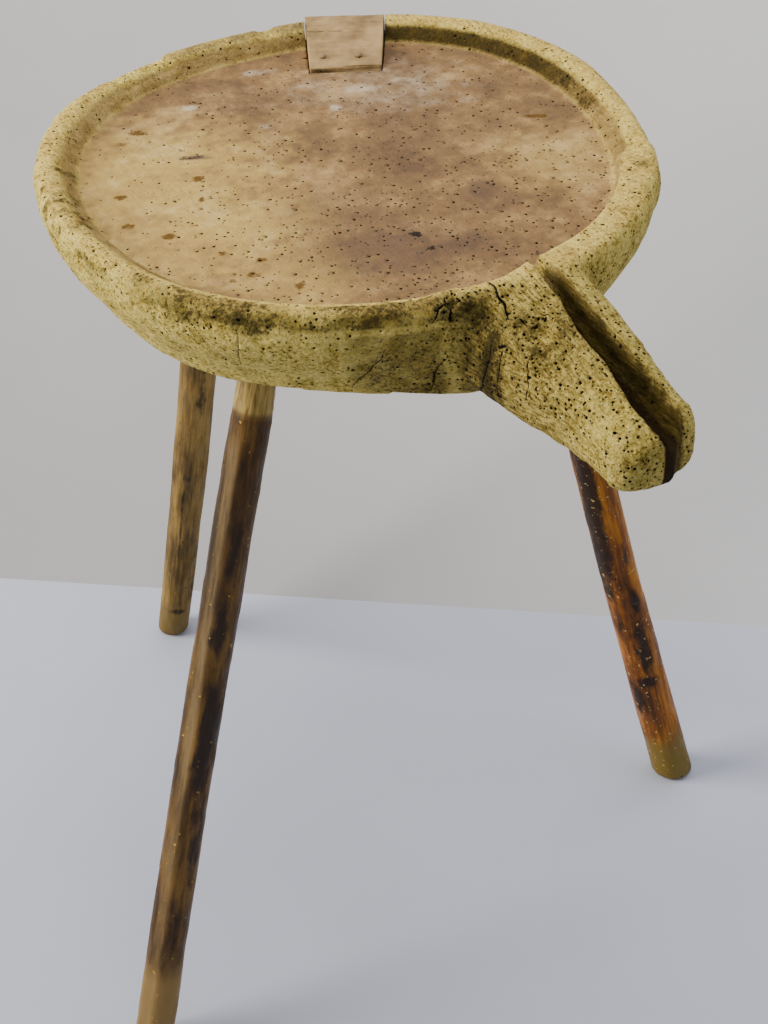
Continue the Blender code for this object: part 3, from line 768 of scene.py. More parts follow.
@dataclass(frozen=True)
class FlightHoles:
    """Furniture beetle's flight holes, scattered over a piece and then bored out of it."""

    thickest: float = 14000.0  # holes to a square metre where the worm share is 1
    spacing: float = 0.0036
    smallest: float = 0.0007  # radius
    largest: float = 0.0014
    depth: float = 0.0045
    lean: float = 0.35  # of a bore from upright, in radians
    seed: int = 7

    def tree(self) -> bpy.types.NodeTree:
        """Geometry nodes: points scattered by the worm share, a short bore on each, made one mesh."""
        tree = bpy.data.node_groups.new("flight_holes", "GeometryNodeTree")
        graph = Graph(tree)
        tree.interface.new_socket("Geometry", in_out="INPUT", socket_type="NodeSocketGeometry")
        for name, value in (
            ("Thickest", self.thickest),
            ("Spacing", self.spacing),
            ("Smallest Radius", self.smallest),
            ("Largest Radius", self.largest),
            ("Depth", self.depth),
        ):
            socket = tree.interface.new_socket(name, in_out="INPUT", socket_type="NodeSocketFloat")
            socket.default_value = value
        seed = tree.interface.new_socket("Seed", in_out="INPUT", socket_type="NodeSocketInt")
        seed.default_value = self.seed
        tree.interface.new_socket("Material", in_out="INPUT", socket_type="NodeSocketMaterial")
        tree.interface.new_socket("Geometry", in_out="OUTPUT", socket_type="NodeSocketGeometry")

        source = graph.add("NodeGroupInput").node.outputs
        share = graph.add("GeometryNodeInputNamedAttribute", {"Name": "worm"}, "Attribute", data_type="FLOAT")
        scatter = graph.add(
            "GeometryNodeDistributePointsOnFaces",
            {
                "Mesh": source["Geometry"],
                "Distance Min": source["Spacing"],
                "Density Max": source["Thickest"],
                "Density Factor": share,
                "Seed": source["Seed"],
            },
            "Points",
            distribute_method="POISSON",
        )
        bore = graph.add(
            "GeometryNodeMeshCylinder",
            {"Vertices": 6, "Radius": 1.0, "Depth": 2.0},
            "Mesh",
            fill_type="NGON",
        )
        radius = graph.add(
            "FunctionNodeRandomValue",
            {2: source["Smallest Radius"], 3: source["Largest Radius"], "Seed": source["Seed"]},
            1,
            data_type="FLOAT",
        )
        size = graph.add("ShaderNodeCombineXYZ", {0: radius, 1: radius, 2: source["Depth"]})
        lean = graph.add(
            "FunctionNodeRandomValue",
            {0: (-self.lean, -self.lean, 0.0), 1: (self.lean, self.lean, 3.14), "Seed": source["Seed"]},
            0,
            data_type="FLOAT_VECTOR",
        )
        leaning = graph.add("FunctionNodeEulerToRotation", {0: lean})
        turned = graph.add(
            "FunctionNodeRotateRotation",
            {"Rotation": scatter.node.outputs["Rotation"], "Rotate By": leaning},
            rotation_space="LOCAL",
        )
        holes = graph.add(
            "GeometryNodeInstanceOnPoints", {"Points": scatter, "Instance": bore, "Rotation": turned, "Scale": size}
        )
        real = graph.add("GeometryNodeRealizeInstances", {0: holes})
        dressed = graph.add("GeometryNodeSetMaterial", {"Geometry": real, "Material": source["Material"]})
        graph.add("NodeGroupOutput", {"Geometry": dressed})
        return tree

    def bore(self, obj: bpy.types.Object, worm: np.ndarray, surface: bpy.types.Material) -> int:
        """Bores the holes out of a piece.

        Args:
            obj: The piece, closed.
            worm: Share of the thickest stand of holes at each vertex.
            surface: Material inside the holes.

        Returns:
            The number of holes.
        """
        mask = obj.data.attributes.new("worm", "FLOAT", "POINT")
        mask.data.foreach_set("value", np.clip(worm, 0.0, 1.0).astype(np.float32))
        cutter = placed("bores", obj.data.copy())
        modifier = cutter.modifiers.new("scatter", "NODES")
        modifier.node_group = self.tree()
        items = modifier.node_group.interface.items_tree
        sockets = {item.name: item.identifier for item in items if item.in_out == "INPUT"}
        for name, value in (
            ("Thickest", self.thickest),
            ("Spacing", self.spacing),
            ("Smallest Radius", self.smallest),
            ("Largest Radius", self.largest),
            ("Depth", self.depth),
            ("Seed", self.seed),
            ("Material", surface),
        ):
            modifier[sockets[name]] = value
        settle(cutter)
        count = len(cutter.data.polygons) // 8
        combine(obj, "DIFFERENCE", cutter)
        obj.data.attributes.remove(obj.data.attributes["worm"])
        return count


@dataclass(frozen=True)
class Shake:
    """Crack that has opened along a line on the surface."""

    line: tuple[tuple[float, float, float], ...]  # points near the surface, about the dish's axis, in metres
    width: float = 0.0012
    depth: float = 0.008
    ragged: float = 0.0012
    seed: int = 3

    def cutter(self, tree: BVHTree, axis: Vector, surface: bpy.types.Material) -> bpy.types.Object:
        """Thin tapering blade that opens the crack.

        Args:
            tree: The surface that the crack runs over.
            axis: Point on the dish's axis at the height of the rim.
            surface: Material inside the crack.

        Returns:
            The blade, as a closed object.
        """
        points: list[Vector] = []
        for start, end in itertools.pairwise([Vector(point) for point in self.line]):
            steps = max(2, int((end - start).length / 0.003))
            points += [start.lerp(end, i / steps) for i in range(steps)]
        points.append(Vector(self.line[-1]))
        sections: list[list[Vector]] = []
        for i, point in enumerate(points):
            wander = float(noise(np.array([list(point)]), 0.008, self.seed)[0])
            before, after = points[max(i - 1, 0)], points[min(i + 1, len(points) - 1)]
            place, normal, _, _ = tree.find_nearest(point + axis)
            side = normal.cross((after - before).normalized()).normalized()
            place = place + side * wander * self.ragged
            share = math.sin(math.pi * (i + 0.6) / (len(points) + 0.2)) ** 0.6
            half = max(self.width / 2 * share, 0.00012)
            deep = max(self.depth * share, 0.0008)
            top = place + normal * 0.004
            spread = half * (1 + 0.004 / deep)
            end, sliver = place - normal * deep, side * CRACK_END
            sections.append([top - side * spread, top + side * spread, end + sliver, end - sliver])
        blade = placed("shake", lofted("shake", sections))
        blade.data.materials.append(surface)
        return blade


# Tray


@dataclass(frozen=True)
class Spot:
    """Stain on the dish floor, about the dish's axis, in metres."""

    x: float
    y: float
    radius: float
    strength: float = 1.0
    stretch: float = 1.0  # length along X over length along Y


@dataclass
class Tray:
    """Hewn slab with its dish, rim, spout and groove."""

    axis: Vector
    radius: float = 0.270
    thickness: float = 0.098
    dish_depth: float = 0.018
    dish_radius: float = 0.234
    side_depth: float = 0.022
    crown: float = 0.009  # how far the rim's outer edge is rounded in, and down
    crown_drop: float = 0.012
    base_inset: float = 0.032
    base_round: float = 0.014
    lobes: tuple[tuple[int, float, float], ...] = ((3, 0.0045, 60.0), (4, 0.0045, -26.6))
    mouth_azimuth: float = -53.4
    mouth_beyond: float = 0.015
    heading: float = -63.5
    reach: float = 0.193
    root: float = 0.060
    fall: float = 0.040
    tip_thickness: float = 0.056
    groove_mouth: float = 0.012
    groove_tip: float = 0.030
    groove_tip_depth: float = 0.027
    voxel: float = 0.0037
    holes: FlightHoles = field(default_factory=FlightHoles)

    def lobed(self, angle: Any) -> Any:
        """Share by which the slab's outline swells at an angle in radians."""
        waves = sum(size * np.cos(count * (angle - math.radians(bearing))) for count, size, bearing in self.lobes)
        return 1 + waves / self.radius

    def spout_axes(self) -> tuple[Vector, Vector, Vector]:
        """Mouth of the groove, the way the spout points and the way to its right."""
        mouth = polar(self.dish_radius + self.mouth_beyond, self.mouth_azimuth)
        along = polar(1.0, self.heading)
        return mouth, along, Vector((-along.y, along.x, 0.0))

    def spout_point(self, distance: float, right_by: float, z: float) -> Vector:
        """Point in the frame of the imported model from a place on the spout."""
        mouth, along, right = self.spout_axes()
        return self.axis + mouth + along * distance + right * right_by + UP * z

    def crest_width(self, azimuth: float) -> float:
        """Width of the rim's top, broad where the spout's root swells it and between there and the right."""
        return 0.023 + 0.009 * float(window(azimuth, -52.0, -12.0, 12.0))

    def slab_profile(self, angle: float) -> list[tuple[float, float]]:
        """Outside of the slab at an angle in radians, from the middle of its underside to that of its top."""
        away = math.remainder(angle - math.radians(-64.0), math.tau)
        web = 0.9 * math.exp(-0.5 * (away / math.radians(14.0)) ** 2)
        base = self.radius - self.base_inset * (1 - web)
        points = [(0.0, -self.thickness), (base * 0.6, -self.thickness)]
        for i in range(7):
            turn = math.radians(-90 + 65 * i / 6)
            points.append(
                (
                    base - self.base_round + self.base_round * math.cos(turn),
                    -self.thickness + self.base_round * (1 + math.sin(turn)),
                )
            )
        low = points[-1]
        for i in range(1, 11):
            share = i / 10
            bulge = math.sin(share * math.pi / 2) ** 1.3
            points.append((mix(low[0], self.radius, bulge), mix(low[1], -self.side_depth, share)))
        for i in range(9):
            turn = math.pi / 2 * i / 8
            points.append((self.radius - self.crown * (1 - math.cos(turn)), self.crown_drop * (math.sin(turn) - 1)))
        points.append((0.0, 0.0))
        return points

    def dish_profile(self, angle: float) -> list[tuple[float, float]]:
        """Hollow of the dish at an angle in radians, from the middle of its floor to above the rim."""
        azimuth = math.degrees(math.remainder(angle, math.tau))
        lip = self.radius - self.crest_width(azimuth)
        cove = 0.005
        points = [(reach, -self.dish_depth) for reach in (0.0, self.dish_radius * 0.6, self.dish_radius - cove)]
        points.append((self.dish_radius, -self.dish_depth + cove * 0.35))
        points.append((mix(self.dish_radius, lip, 0.5), -self.dish_depth * 0.5))
        points.append((lip - 0.0015, -0.004))
        points.append((lip + 0.002, -0.0008))
        points.append((lip + 0.006, 0.0006))
        points.append((lip + 0.030, 0.03))
        points.append((0.0, 0.03))
        return points

    def turned(self, name: str, profile_at: Any) -> bpy.types.Mesh:
        """Closed mesh of a profile carried round the slab's lobed outline."""
        around = 180
        bm = bmesh.new()
        angles = [math.tau * i / around for i in range(around)]
        profiles = [profile_at(angle) for angle in angles]
        last = len(profiles[0]) - 1
        rings = [[bm.verts.new(self.axis + UP * profiles[0][0][1])]]
        for level in range(1, last):
            ring = []
            for angle, profile in zip(angles, profiles, strict=True):
                reach, z = profile[level]
                reach *= float(self.lobed(angle))
                ring.append(bm.verts.new(self.axis + Vector((reach * math.cos(angle), reach * math.sin(angle), z))))
            rings.append(ring)
        rings.append([bm.verts.new(self.axis + UP * profiles[0][last][1])])
        join_rings(bm, rings)
        return finish_mesh(name, bm)

    def spout_top(self, distance: Any) -> Any:
        """Height of the spout's crest, which leaves the rim level and falls faster towards the tip."""
        return -self.fall * smooth(np.clip(distance, 0.0, None) / self.reach / 1.35) / smooth(1 / 1.35)

    def spout_section(self, distance: float, shrink: float) -> list[Vector]:
        """Section of the spout's stock: a round-shouldered log on its left and a narrow bar on its right."""
        share = float(smooth(max(distance, 0.0) / self.reach / 0.87))
        left, right = -mix(0.081, 0.049, share), mix(0.040, 0.031, share)
        top = float(self.spout_top(distance))
        bottom = mix(-self.thickness + 0.0006, -self.fall - self.tip_thickness, share)
        middle, half_height = (top + bottom) / 2, (top - bottom) / 2 * shrink
        crest = mix(-0.006, -0.002, share)  # the stock is highest just left of the groove
        points = []
        for i in range(48):
            angle = math.tau * (i + 0.5) / 48
            across, up = math.cos(angle), math.sin(angle)
            power = 0.55
            if up > 0:
                power = 0.82 if across < 0 else 0.66
            half_width = (crest - left) if across < 0 else (right - crest)
            t = crest + math.copysign(abs(across) ** power, across) * half_width * shrink
            rise = math.copysign(abs(up) ** (power if up > 0 else 0.55), up) * half_height
            points.append(self.spout_point(distance, t, middle + rise))
        return points

    def spout_stock(self) -> bpy.types.Mesh:
        """Stock of the spout, from inside the slab to its rounded tip."""
        sections = []
        nose = 0.022
        straight = self.reach - nose
        for i in range(41):
            sections.append(self.spout_section(mix(-self.root, straight, i / 40), 1.0))
        for i in range(1, 9):
            turn = math.pi / 2 * i / 8
            sections.append(self.spout_section(straight + nose * math.sin(turn), mix(0.6, 1.0, math.cos(turn))))
        return lofted("spout_stock", sections)

    def groove_shape(self, distance: np.ndarray) -> tuple[np.ndarray, np.ndarray, np.ndarray]:
        """Middle, half width and floor height of the groove at distances along the spout. It widens and
        falls towards the tip, and closes to a notch where it runs out over the nose."""
        share = np.clip(distance, 0.0, None) / self.reach
        notch = step(distance, self.reach + 0.006, self.reach - 0.014)
        width = mix(self.groove_mouth, self.groove_tip, np.minimum(share * 1.1, 1.0))
        width = width * (1 + 0.06 * np.sin(distance * 95))
        middle = 0.0012 * np.sin(distance * 60) - 0.003 * np.sin(math.pi * np.minimum(share, 1.0))
        middle = middle - 0.0015 * (1 - notch)
        floor = mix(-self.dish_depth - 0.0012, -self.fall - self.groove_tip_depth, share)
        floor = floor + 0.007 * step(distance, self.reach - 0.035, self.reach)
        return middle, width / 2 * mix(0.22, 1.0, notch), floor

    def groove(self) -> bpy.types.Mesh:
        """Cutter of the groove: a slot with a round bottom and gouged walls."""
        stations = np.linspace(-self.dish_depth - 0.004, self.reach + 0.03, 90)
        sections = []
        for distance, middle, half, floor in zip(stations, *self.groove_shape(stations), strict=True):
            top = self.spout_top(float(distance))
            section = [(1.22, 0.03), (1.10, top - 0.002), (1.0, mix(floor, top, 0.65)), (0.98, mix(floor, top, 0.45))]
            outline = [(middle - half * wide, z) for wide, z in section]
            for k in range(1, 12):
                turn = math.pi + math.pi * k / 12
                outline.append((middle + half * math.cos(turn) * 0.98, floor + half * 0.8 * (1 + math.sin(turn))))
            outline += [(middle + half * wide, z) for wide, z in reversed(section)]
            sections.append([self.spout_point(float(distance), float(t), float(z)) for t, z in outline])
        mesh = lofted("groove_cutter", sections)
        points = read_points(mesh)
        low = step(points[:, 2] - self.axis.z, 0.004, -0.004)
        gouged = 0.0011 * noise(points, 0.009, 161) + 0.0006 * noise(points, 0.004, 162)
        write_points(mesh, points + read_normals(mesh) * (gouged * low)[:, None])
        return mesh

    def body(self) -> bpy.types.Object:
        """Slab, spout and dish as one even mesh."""
        body = placed("tray_body", self.turned("slab", self.slab_profile))
        combine(body, "UNION", placed("stock", self.spout_stock()), "EXACT")
        combine(body, "DIFFERENCE", placed("dish", self.turned("dish", self.dish_profile)), "EXACT")
        remeshed(body, self.voxel, 3)
        return body

    def coordinates(self, points: np.ndarray) -> dict[str, np.ndarray]:
        """Ways to say where each point of the tray lies.

        Args:
            points: Positions about the dish's axis, one row each.

        Returns:
            The azimuth in degrees, the radius with the lobes taken out, the height, and the distances along
            the spout and to its right.
        """
        angle = np.arctan2(points[:, 1], points[:, 0])
        mouth, along, right = self.spout_axes()
        offset = points - np.array(mouth)
        return {
            "azimuth": np.degrees(angle),
            "radius": np.hypot(points[:, 0], points[:, 1]) / self.lobed(angle),
            "z": points[:, 2],
            "along": offset @ np.array(along),
            "right": offset @ np.array(right),
        }

    def masks(self, points: np.ndarray, normals: np.ndarray) -> dict[str, np.ndarray]:
        """Share of each region at each point of the tray.

        Args:
            points: Positions about the dish's axis, one row each.
            normals: Directions that the surface faces.

        Returns:
            Masks from 0 to 1 of the floor, the inner wall, the crest, the spout, the side, the underside
            and the inside of the groove, with the painted shade in the groove, darker towards its bottom and on its
            unlit wall.
        """
        c = self.coordinates(points)
        up = normals[:, 2]
        inside = step(c["radius"], self.dish_radius + 0.001, self.dish_radius - 0.004)
        floor = inside * step(c["z"], -0.010, -0.0155) * step(c["z"], -0.036, -0.026)
        spout = step(c["along"], 0.004, 0.024) * window(c["right"], -0.088, 0.052, 0.012)
        middle, half, bottom = self.groove_shape(c["along"])
        top = self.spout_top(c["along"])
        groove = step(c["along"], -0.006, 0.008) * step(np.abs(c["right"] - middle) - half, 0.0016, 0.0006)
        groove = groove * step(c["z"] - top, -0.001, -0.003)
        depth = np.clip((top - c["z"]) / np.maximum(top - bottom, 0.004), 0.0, 1.0)
        lit = step((c["right"] - middle) / half, 0.1, 0.8)
        lip = self.radius - 0.023 - 0.009 * window(c["azimuth"], -52.0, -12.0, 12.0)
        wall = (1 - floor) * step(c["radius"], lip + 0.003, lip - 0.002) * step(c["z"], -0.026, -0.019) * (1 - groove)
        crest = step(c["z"], -0.008, -0.002) * step(up, 0.5, 0.92) * (1 - floor) * (1 - groove)
        crest = crest * (1 - spout)
        under = step(up, -0.6, -0.85) * step(c["z"], -self.thickness + 0.012, -self.thickness + 0.003)
        side = (1 - floor) * (1 - wall) * (1 - crest) * (1 - spout) * (1 - under) * (1 - groove)
        return {
            **c,
            "up": up,
            # Painted shade in the groove: darker towards its bottom, fading on the wall that faces the light.
            "deep": groove * step(depth, 0.05, 0.4) * (1 - 0.92 * lit),
            "lit": lit,
            "floor": floor,
            "wall": np.maximum(wall * (1 - crest), 0.85 * groove),
            "crest": crest,
            "spout": spout,
            "groove": groove,
            "under": under,
            "side": side,
        }

    def sculpt(self, body: bpy.types.Object) -> None:
        """Hews, wears and breaks the even body: tool cuts, waves, chips, a broken stretch and knots."""
        mesh = body.data
        points = read_points(mesh)
        normals = read_normals(mesh)
        about = points - np.array(self.axis)
        m = self.masks(about, normals)
        flat_way = about * np.array([1.0, 1.0, 0.8])
        outer = m["side"] + m["spout"] * (1 - m["groove"])
        push = (0.0010 * noise(about, 0.060, 21) - 0.0010) * outer
        push += 0.0013 * facets(flat_way, 0.042, 5) * m["side"]
        push += 0.0012 * facets(flat_way, 0.024, 8) * m["spout"] * (1 - m["groove"])
        push += 0.0009 * rough(about, 0.011, 31) * outer
        push += 0.0010 * rough(about, 0.016, 41) * m["groove"]
        push += 0.0006 * rough(about, 0.05, 51) * m["floor"] + 0.0009 * noise(about, 0.03, 61) * m["wall"]
        push += 0.0014 * noise(about, 0.06, 71) * m["under"] + 0.0020 * facets(about, 0.05, 9) * m["under"]

        # Weathering bites ragged scars into the side under the rim at the front left.
        band = window(m["z"], -0.030, -0.008, 0.010) * window(m["azimuth"], -178.0, -92.0, 14.0) * m["side"]
        push -= 0.0026 * band * step(rough(about, 0.014, 81), -0.05, 0.5)
        # A flat, adzed stretch lies left of the spout.
        push -= 0.0022 * window(m["azimuth"], -90.0, -76.0, 6.0) * window(m["z"], -0.09, -0.03, 0.012) * m["side"]
        # The knot in the rim and the rotted one on the spout sink in, with a swollen ring round each.
        for x, y, z, hollow, depth, swell in (
            (0.0763, -0.2500, -0.003, 0.0075, 0.0060, 0.0014),
            (0.1400, -0.2850, -0.012, 0.0120, 0.0030, 0.0020),
            (0.1470, -0.2790, -0.016, 0.0070, 0.0030, 0.0008),
        ):
            away = np.linalg.norm(about - np.array([x, y, z]), axis=1) + 0.0016 * noise(about, 0.006, 91)
            push -= depth * step(away, hollow, hollow * 0.25)
            push += swell * window(away, hollow * 1.5, hollow * 2.0, hollow * 0.8) * (1 - m["groove"])
        # The grain folds round the rotted knot.
        folds = np.linalg.norm(about - np.array([0.1400, -0.2850, -0.014]), axis=1) + 0.003 * noise(about, 0.015, 95)
        push += 0.0016 * np.sin(folds * math.tau / 0.0095) * window(folds, 0.013, 0.026, 0.010) * (1 - m["groove"])
        # The log swells at the spout's root.
        swell = np.linalg.norm((about - np.array([0.1210, -0.2600, -0.012])) * np.array([1.0, 1.0, 0.9]), axis=1)
        push += 0.0030 * step(swell, 0.032, 0.004) * (1 - m["groove"]) * step(m["right"], -0.012, -0.022)
        points = points + normals * push[:, None]

        # The rim's crest dips and rises, and a stretch of it at the back left has broken away.
        near_top = step(m["z"], -0.020, -0.004) * step(m["radius"], 0.236, 0.246)
        drop = 0.0007 + 0.0011 * (1 + noise(about * np.array([1.0, 1.0, 0.0]), 0.06, 101))
        drop += 0.0042 * step(m["azimuth"], 131.2, 132.4) * step(m["azimuth"], 147.5, 144.0)
        drop += 0.0020 * step(m["azimuth"], 144.0, 145.0) * step(m["azimuth"], 158.0, 150.0)
        drop += 0.0032 * window(m["azimuth"], -4.0, 0.5, 2.5) * step(m["radius"], 0.262, 0.254)
        drop += 0.0022 * window(m["azimuth"], 106.6, 109.0, 1.2)
        points[:, 2] -= drop * near_top
        outwards = about * np.array([1.0, 1.0, 0.0]) / np.maximum(np.linalg.norm(about[:, :2], axis=1), 1e-6)[:, None]
        upper = m["side"] + m["crest"]
        bump = 0.0035 * window(m["azimuth"], -13.0, -5.0, 4.0) * window(m["z"], -0.035, 0.0, 0.02) * upper
        swollen = 0.0030 * window(m["azimuth"], 34.0, 60.0, 12.0) * window(m["z"], -0.04, 0.0, 0.03) * upper
        points += outwards * (bump + swollen)[:, None]
        # Right of the groove the nose has worn shorter, so the notch opens between two lobes.
        worn_back = 0.006 * step(m["along"], 0.160, 0.193) * step(m["right"], -0.003, 0.007)
        points -= np.array(self.spout_axes()[1]) * worn_back[:, None]
        low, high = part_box("tray")
        points = np.clip(points, np.array(low) + INSET, np.array(high) - INSET)
        write_points(mesh, points)

    def patch_recess(self, toe: float, toe_width: float, rim_width: float, seat: float) -> bpy.types.Object:
        """Cutter of the patch's seat, with slightly ragged sides.

        Args:
            toe: Distance of its inner end from the dish's axis.
            toe_width: Width at that end.
            rim_width: Width at the outside of the rim.
            seat: Height of its floor, about the rim.

        Returns:
            The cutter.
        """
        outer = self.radius + 0.03
        widths = {toe: toe_width, outer: toe_width + (rim_width - toe_width) * (outer - toe) / (self.radius - toe)}
        plan: list[tuple[float, float]] = []
        steps = 24
        for side in (-1, 1):
            edge = []
            for i in range(steps + 1):
                y = mix(toe, outer, i / steps)
                ragged = 0.0006 * (lattice(np.array([[i, side, 2]]), 17)[0] - 0.3)
                edge.append((side * (mix(widths[toe], widths[outer], i / steps) / 2 + ragged), y))
            plan += edge if side == 1 else edge[::-1]
        sections = [[self.axis + Vector((x, y, z)) for x, y in plan] for z in (seat, 0.03)]
        return placed("recess", lofted("recess", sections))

    def shakes(self) -> list[Shake]:
        """Cracks of the tray, as points about the dish's axis."""
        return [
            Shake(
                ((0.0765, -0.252, 0.0), (0.0765, -0.262, -0.008), (0.079, -0.266, -0.022)),
                0.0020, 0.012, 0.0006, 3,
            ),
            Shake(
                ((0.0765, -0.250, 0.0), (0.068, -0.258, -0.004), (0.062, -0.266, -0.016)),
                0.0014, 0.008, 0.0008, 21,
            ),
            Shake(((0.078, -0.248, 0.0), (0.088, -0.254, -0.003)), 0.0012, 0.007, 0.0006, 22),
            Shake(
                ((0.106, -0.224, 0.0), (0.112, -0.236, 0.0), (0.117, -0.252, -0.004), (0.1175, -0.266, -0.010)),
                0.0020, 0.012, 0.0008, 4,
            ),
            Shake(
                ((0.028, -0.270, -0.040), (0.016, -0.262, -0.062), (-0.004, -0.246, -0.094)),
                0.0010, 0.005, 0.0007, 5,
            ),
            Shake(
                ((0.074, -0.268, -0.046), (0.066, -0.262, -0.068), (0.058, -0.254, -0.094)),
                0.0009, 0.005, 0.0006, 6,
            ),
            Shake(
                ((0.106, -0.272, -0.022), (0.104, -0.276, -0.042), (0.098, -0.270, -0.068), (0.092, -0.262, -0.094)),
                0.0014, 0.006, 0.0007, 7,
            ),
            Shake(
                ((0.113, -0.280, -0.020), (0.110, -0.286, -0.042), (0.107, -0.284, -0.070)),
                0.0009, 0.005, 0.0010, 8,
            ),
            Shake(
                ((0.132, -0.298, -0.022), (0.130, -0.306, -0.044), (0.127, -0.308, -0.060)),
                0.0008, 0.005, 0.0010, 9,
            ),
            Shake(
                ((-0.087, -0.260, -0.012), (-0.089, -0.256, -0.040), (-0.092, -0.236, -0.074)),
                0.0006, 0.004, 0.0006, 10,
            ),
            Shake(
                ((0.126, -0.268, -0.006), (0.133, -0.276, -0.010), (0.141, -0.279, -0.012)),
                0.0016, 0.006, 0.0014, 11,
            ),
            Shake(
                ((-0.052, 0.262, -0.030), (-0.050, 0.262, -0.055), (-0.046, 0.256, -0.085)),
                0.0009, 0.006, 0.0010, 12,
            ),
            Shake(
                ((0.205, 0.170, -0.020), (0.212, 0.158, -0.045), (0.205, 0.150, -0.080)),
                0.0010, 0.007, 0.0012, 13,
            ),
            Shake(
                ((0.242, -0.090, -0.030), (0.236, -0.100, -0.060), (0.226, -0.104, -0.088)),
                0.0009, 0.006, 0.0012, 14,
            ),
        ]

    def worm_share(self, about: np.ndarray, normals: np.ndarray) -> np.ndarray:
        """How thickly the beetle has bored each part of the tray.

        Args:
            about: Positions about the dish's axis, one row each.
            normals: Directions that the surface faces.

        Returns:
            A share of the thickest stand of holes for each point.
        """
        m = self.masks(about, normals)
        scar = np.linalg.norm(about - np.array([0.138, -0.286, -0.015]), axis=1)
        rim_knot = np.linalg.norm(about - np.array([0.085, -0.248, 0.0]), axis=1)
        patchy = 0.5 + 0.5 * rough(about, 0.05, 111)
        share = 0.22 * m["side"] + 0.26 * m["crest"] + 0.10 * m["under"]
        share = share + 0.14 * m["wall"] * (1 - m["groove"]) + 0.06 * m["groove"]
        on_floor = m["floor"] * mix(0.16, 0.36, step(about[:, 0], -0.20, 0.02))
        share += on_floor * mix(0.65, 1.15, step(about[:, 1], 0.10, -0.12))
        share += m["spout"] * (1 - m["groove"]) * mix(0.55, 0.95, patchy)
        share += 0.9 * step(scar, 0.034, 0.010) + 0.6 * step(rim_knot, 0.04, 0.015) * (1 - m["floor"])
        share += 0.5 * window(m["azimuth"], 20.0, 32.0, 6.0) * m["wall"] * patchy
        return share * mix(0.55, 1.35, patchy)

    def spots(self) -> dict[str, list[Spot]]:
        """Stains of the dish floor: rust from iron tools, grey clouds and chalky worn places."""
        return {
            "rust": [
                Spot(-0.188, 0.068, 0.0075, 1.0, 1.5),
                Spot(-0.202, 0.047, 0.0065, 0.75, 1.4),
                Spot(-0.129, -0.020, 0.0070, 1.0, 1.3),
                Spot(-0.194, -0.047, 0.0060, 1.0, 1.3),
                Spot(-0.124, -0.056, 0.0065, 0.95, 0.7),
                Spot(-0.124, -0.070, 0.0045, 0.7, 0.7),
                Spot(-0.108, -0.054, 0.0050, 0.62, 0.8),
                Spot(-0.183, -0.096, 0.0065, 0.95, 1.2),
                Spot(-0.149, -0.114, 0.0068, 1.0, 1.4),
                Spot(-0.103, -0.144, 0.0070, 0.9, 0.9),
                Spot(-0.070, -0.156, 0.0055, 0.85, 1.2),
                Spot(-0.076, -0.178, 0.0075, 0.9, 1.1),
                Spot(-0.039, -0.196, 0.0090, 0.95, 0.8),
                Spot(-0.094, -0.186, 0.0060, 0.6, 1.2),
                Spot(0.172, 0.071, 0.0050, 1.0, 3.4),
                Spot(-0.129, -0.098, 0.0045, 0.6, 1.5),
            ],
            "violet": [
                Spot(0.096, -0.140, 0.030, 0.80),
                Spot(0.115, -0.060, 0.026, 0.70),
                Spot(0.135, -0.072, 0.018, 0.55),
                Spot(-0.010, -0.085, 0.060, 0.52, 1.3),
                Spot(0.028, -0.150, 0.060, 0.72, 1.5),
                Spot(0.075, 0.035, 0.050, 0.38, 1.2),
                Spot(0.060, 0.125, 0.050, 0.42, 1.6),
                Spot(-0.085, 0.070, 0.035, 0.42, 1.4),
                Spot(-0.045, 0.120, 0.045, 0.35, 1.5),
                Spot(-0.135, 0.018, 0.0070, 1.0, 2.6),
            ],
            "chalk": [
                Spot(0.030, 0.140, 0.085, 0.46, 1.6),
                Spot(-0.100, 0.130, 0.060, 0.30, 1.5),
                Spot(-0.145, 0.113, 0.008, 0.85, 1.4),
                Spot(-0.074, 0.070, 0.008, 0.60, 1.3),
                Spot(-0.010, 0.102, 0.007, 0.95, 1.2),
                Spot(0.013, 0.140, 0.014, 0.80, 1.9),
                Spot(0.055, 0.150, 0.018, 0.62, 1.6),
                Spot(-0.030, 0.150, 0.016, 0.62, 1.8),
                Spot(-0.085, 0.180, 0.010, 0.75, 2.2),
                Spot(0.110, 0.110, 0.016, 0.40, 1.5),
            ],
            "dark": [
                Spot(0.055, -0.125, 0.0062, 1.0, 1.1),
                Spot(0.067, -0.148, 0.0036, 0.9, 1.6),
                Spot(0.178, 0.005, 0.0050, 0.62, 1.6),
                Spot(-0.137, 0.018, 0.0042, 0.75, 3.4),
                Spot(0.126, 0.000, 0.0038, 0.5, 0.8),
            ],
            "buff": [
                Spot(-0.160, -0.020, 0.125, 1.0),
                Spot(-0.120, -0.110, 0.110, 1.0),
                Spot(-0.050, -0.190, 0.070, 0.7),
                Spot(0.190, -0.010, 0.070, 0.55),
            ],
        }

    def spotted(self, about: np.ndarray, kind: str) -> np.ndarray:
        """Mask of one kind of stain."""
        total = np.zeros(len(about))
        blur = noise(about, 0.006, 121) * 0.25
        for spot in self.spots()[kind]:
            away = np.hypot((about[:, 0] - spot.x) / spot.stretch, about[:, 1] - spot.y) / spot.radius
            total = np.maximum(total, spot.strength * smooth(1.25 - away + 1.6 * blur))
        return total

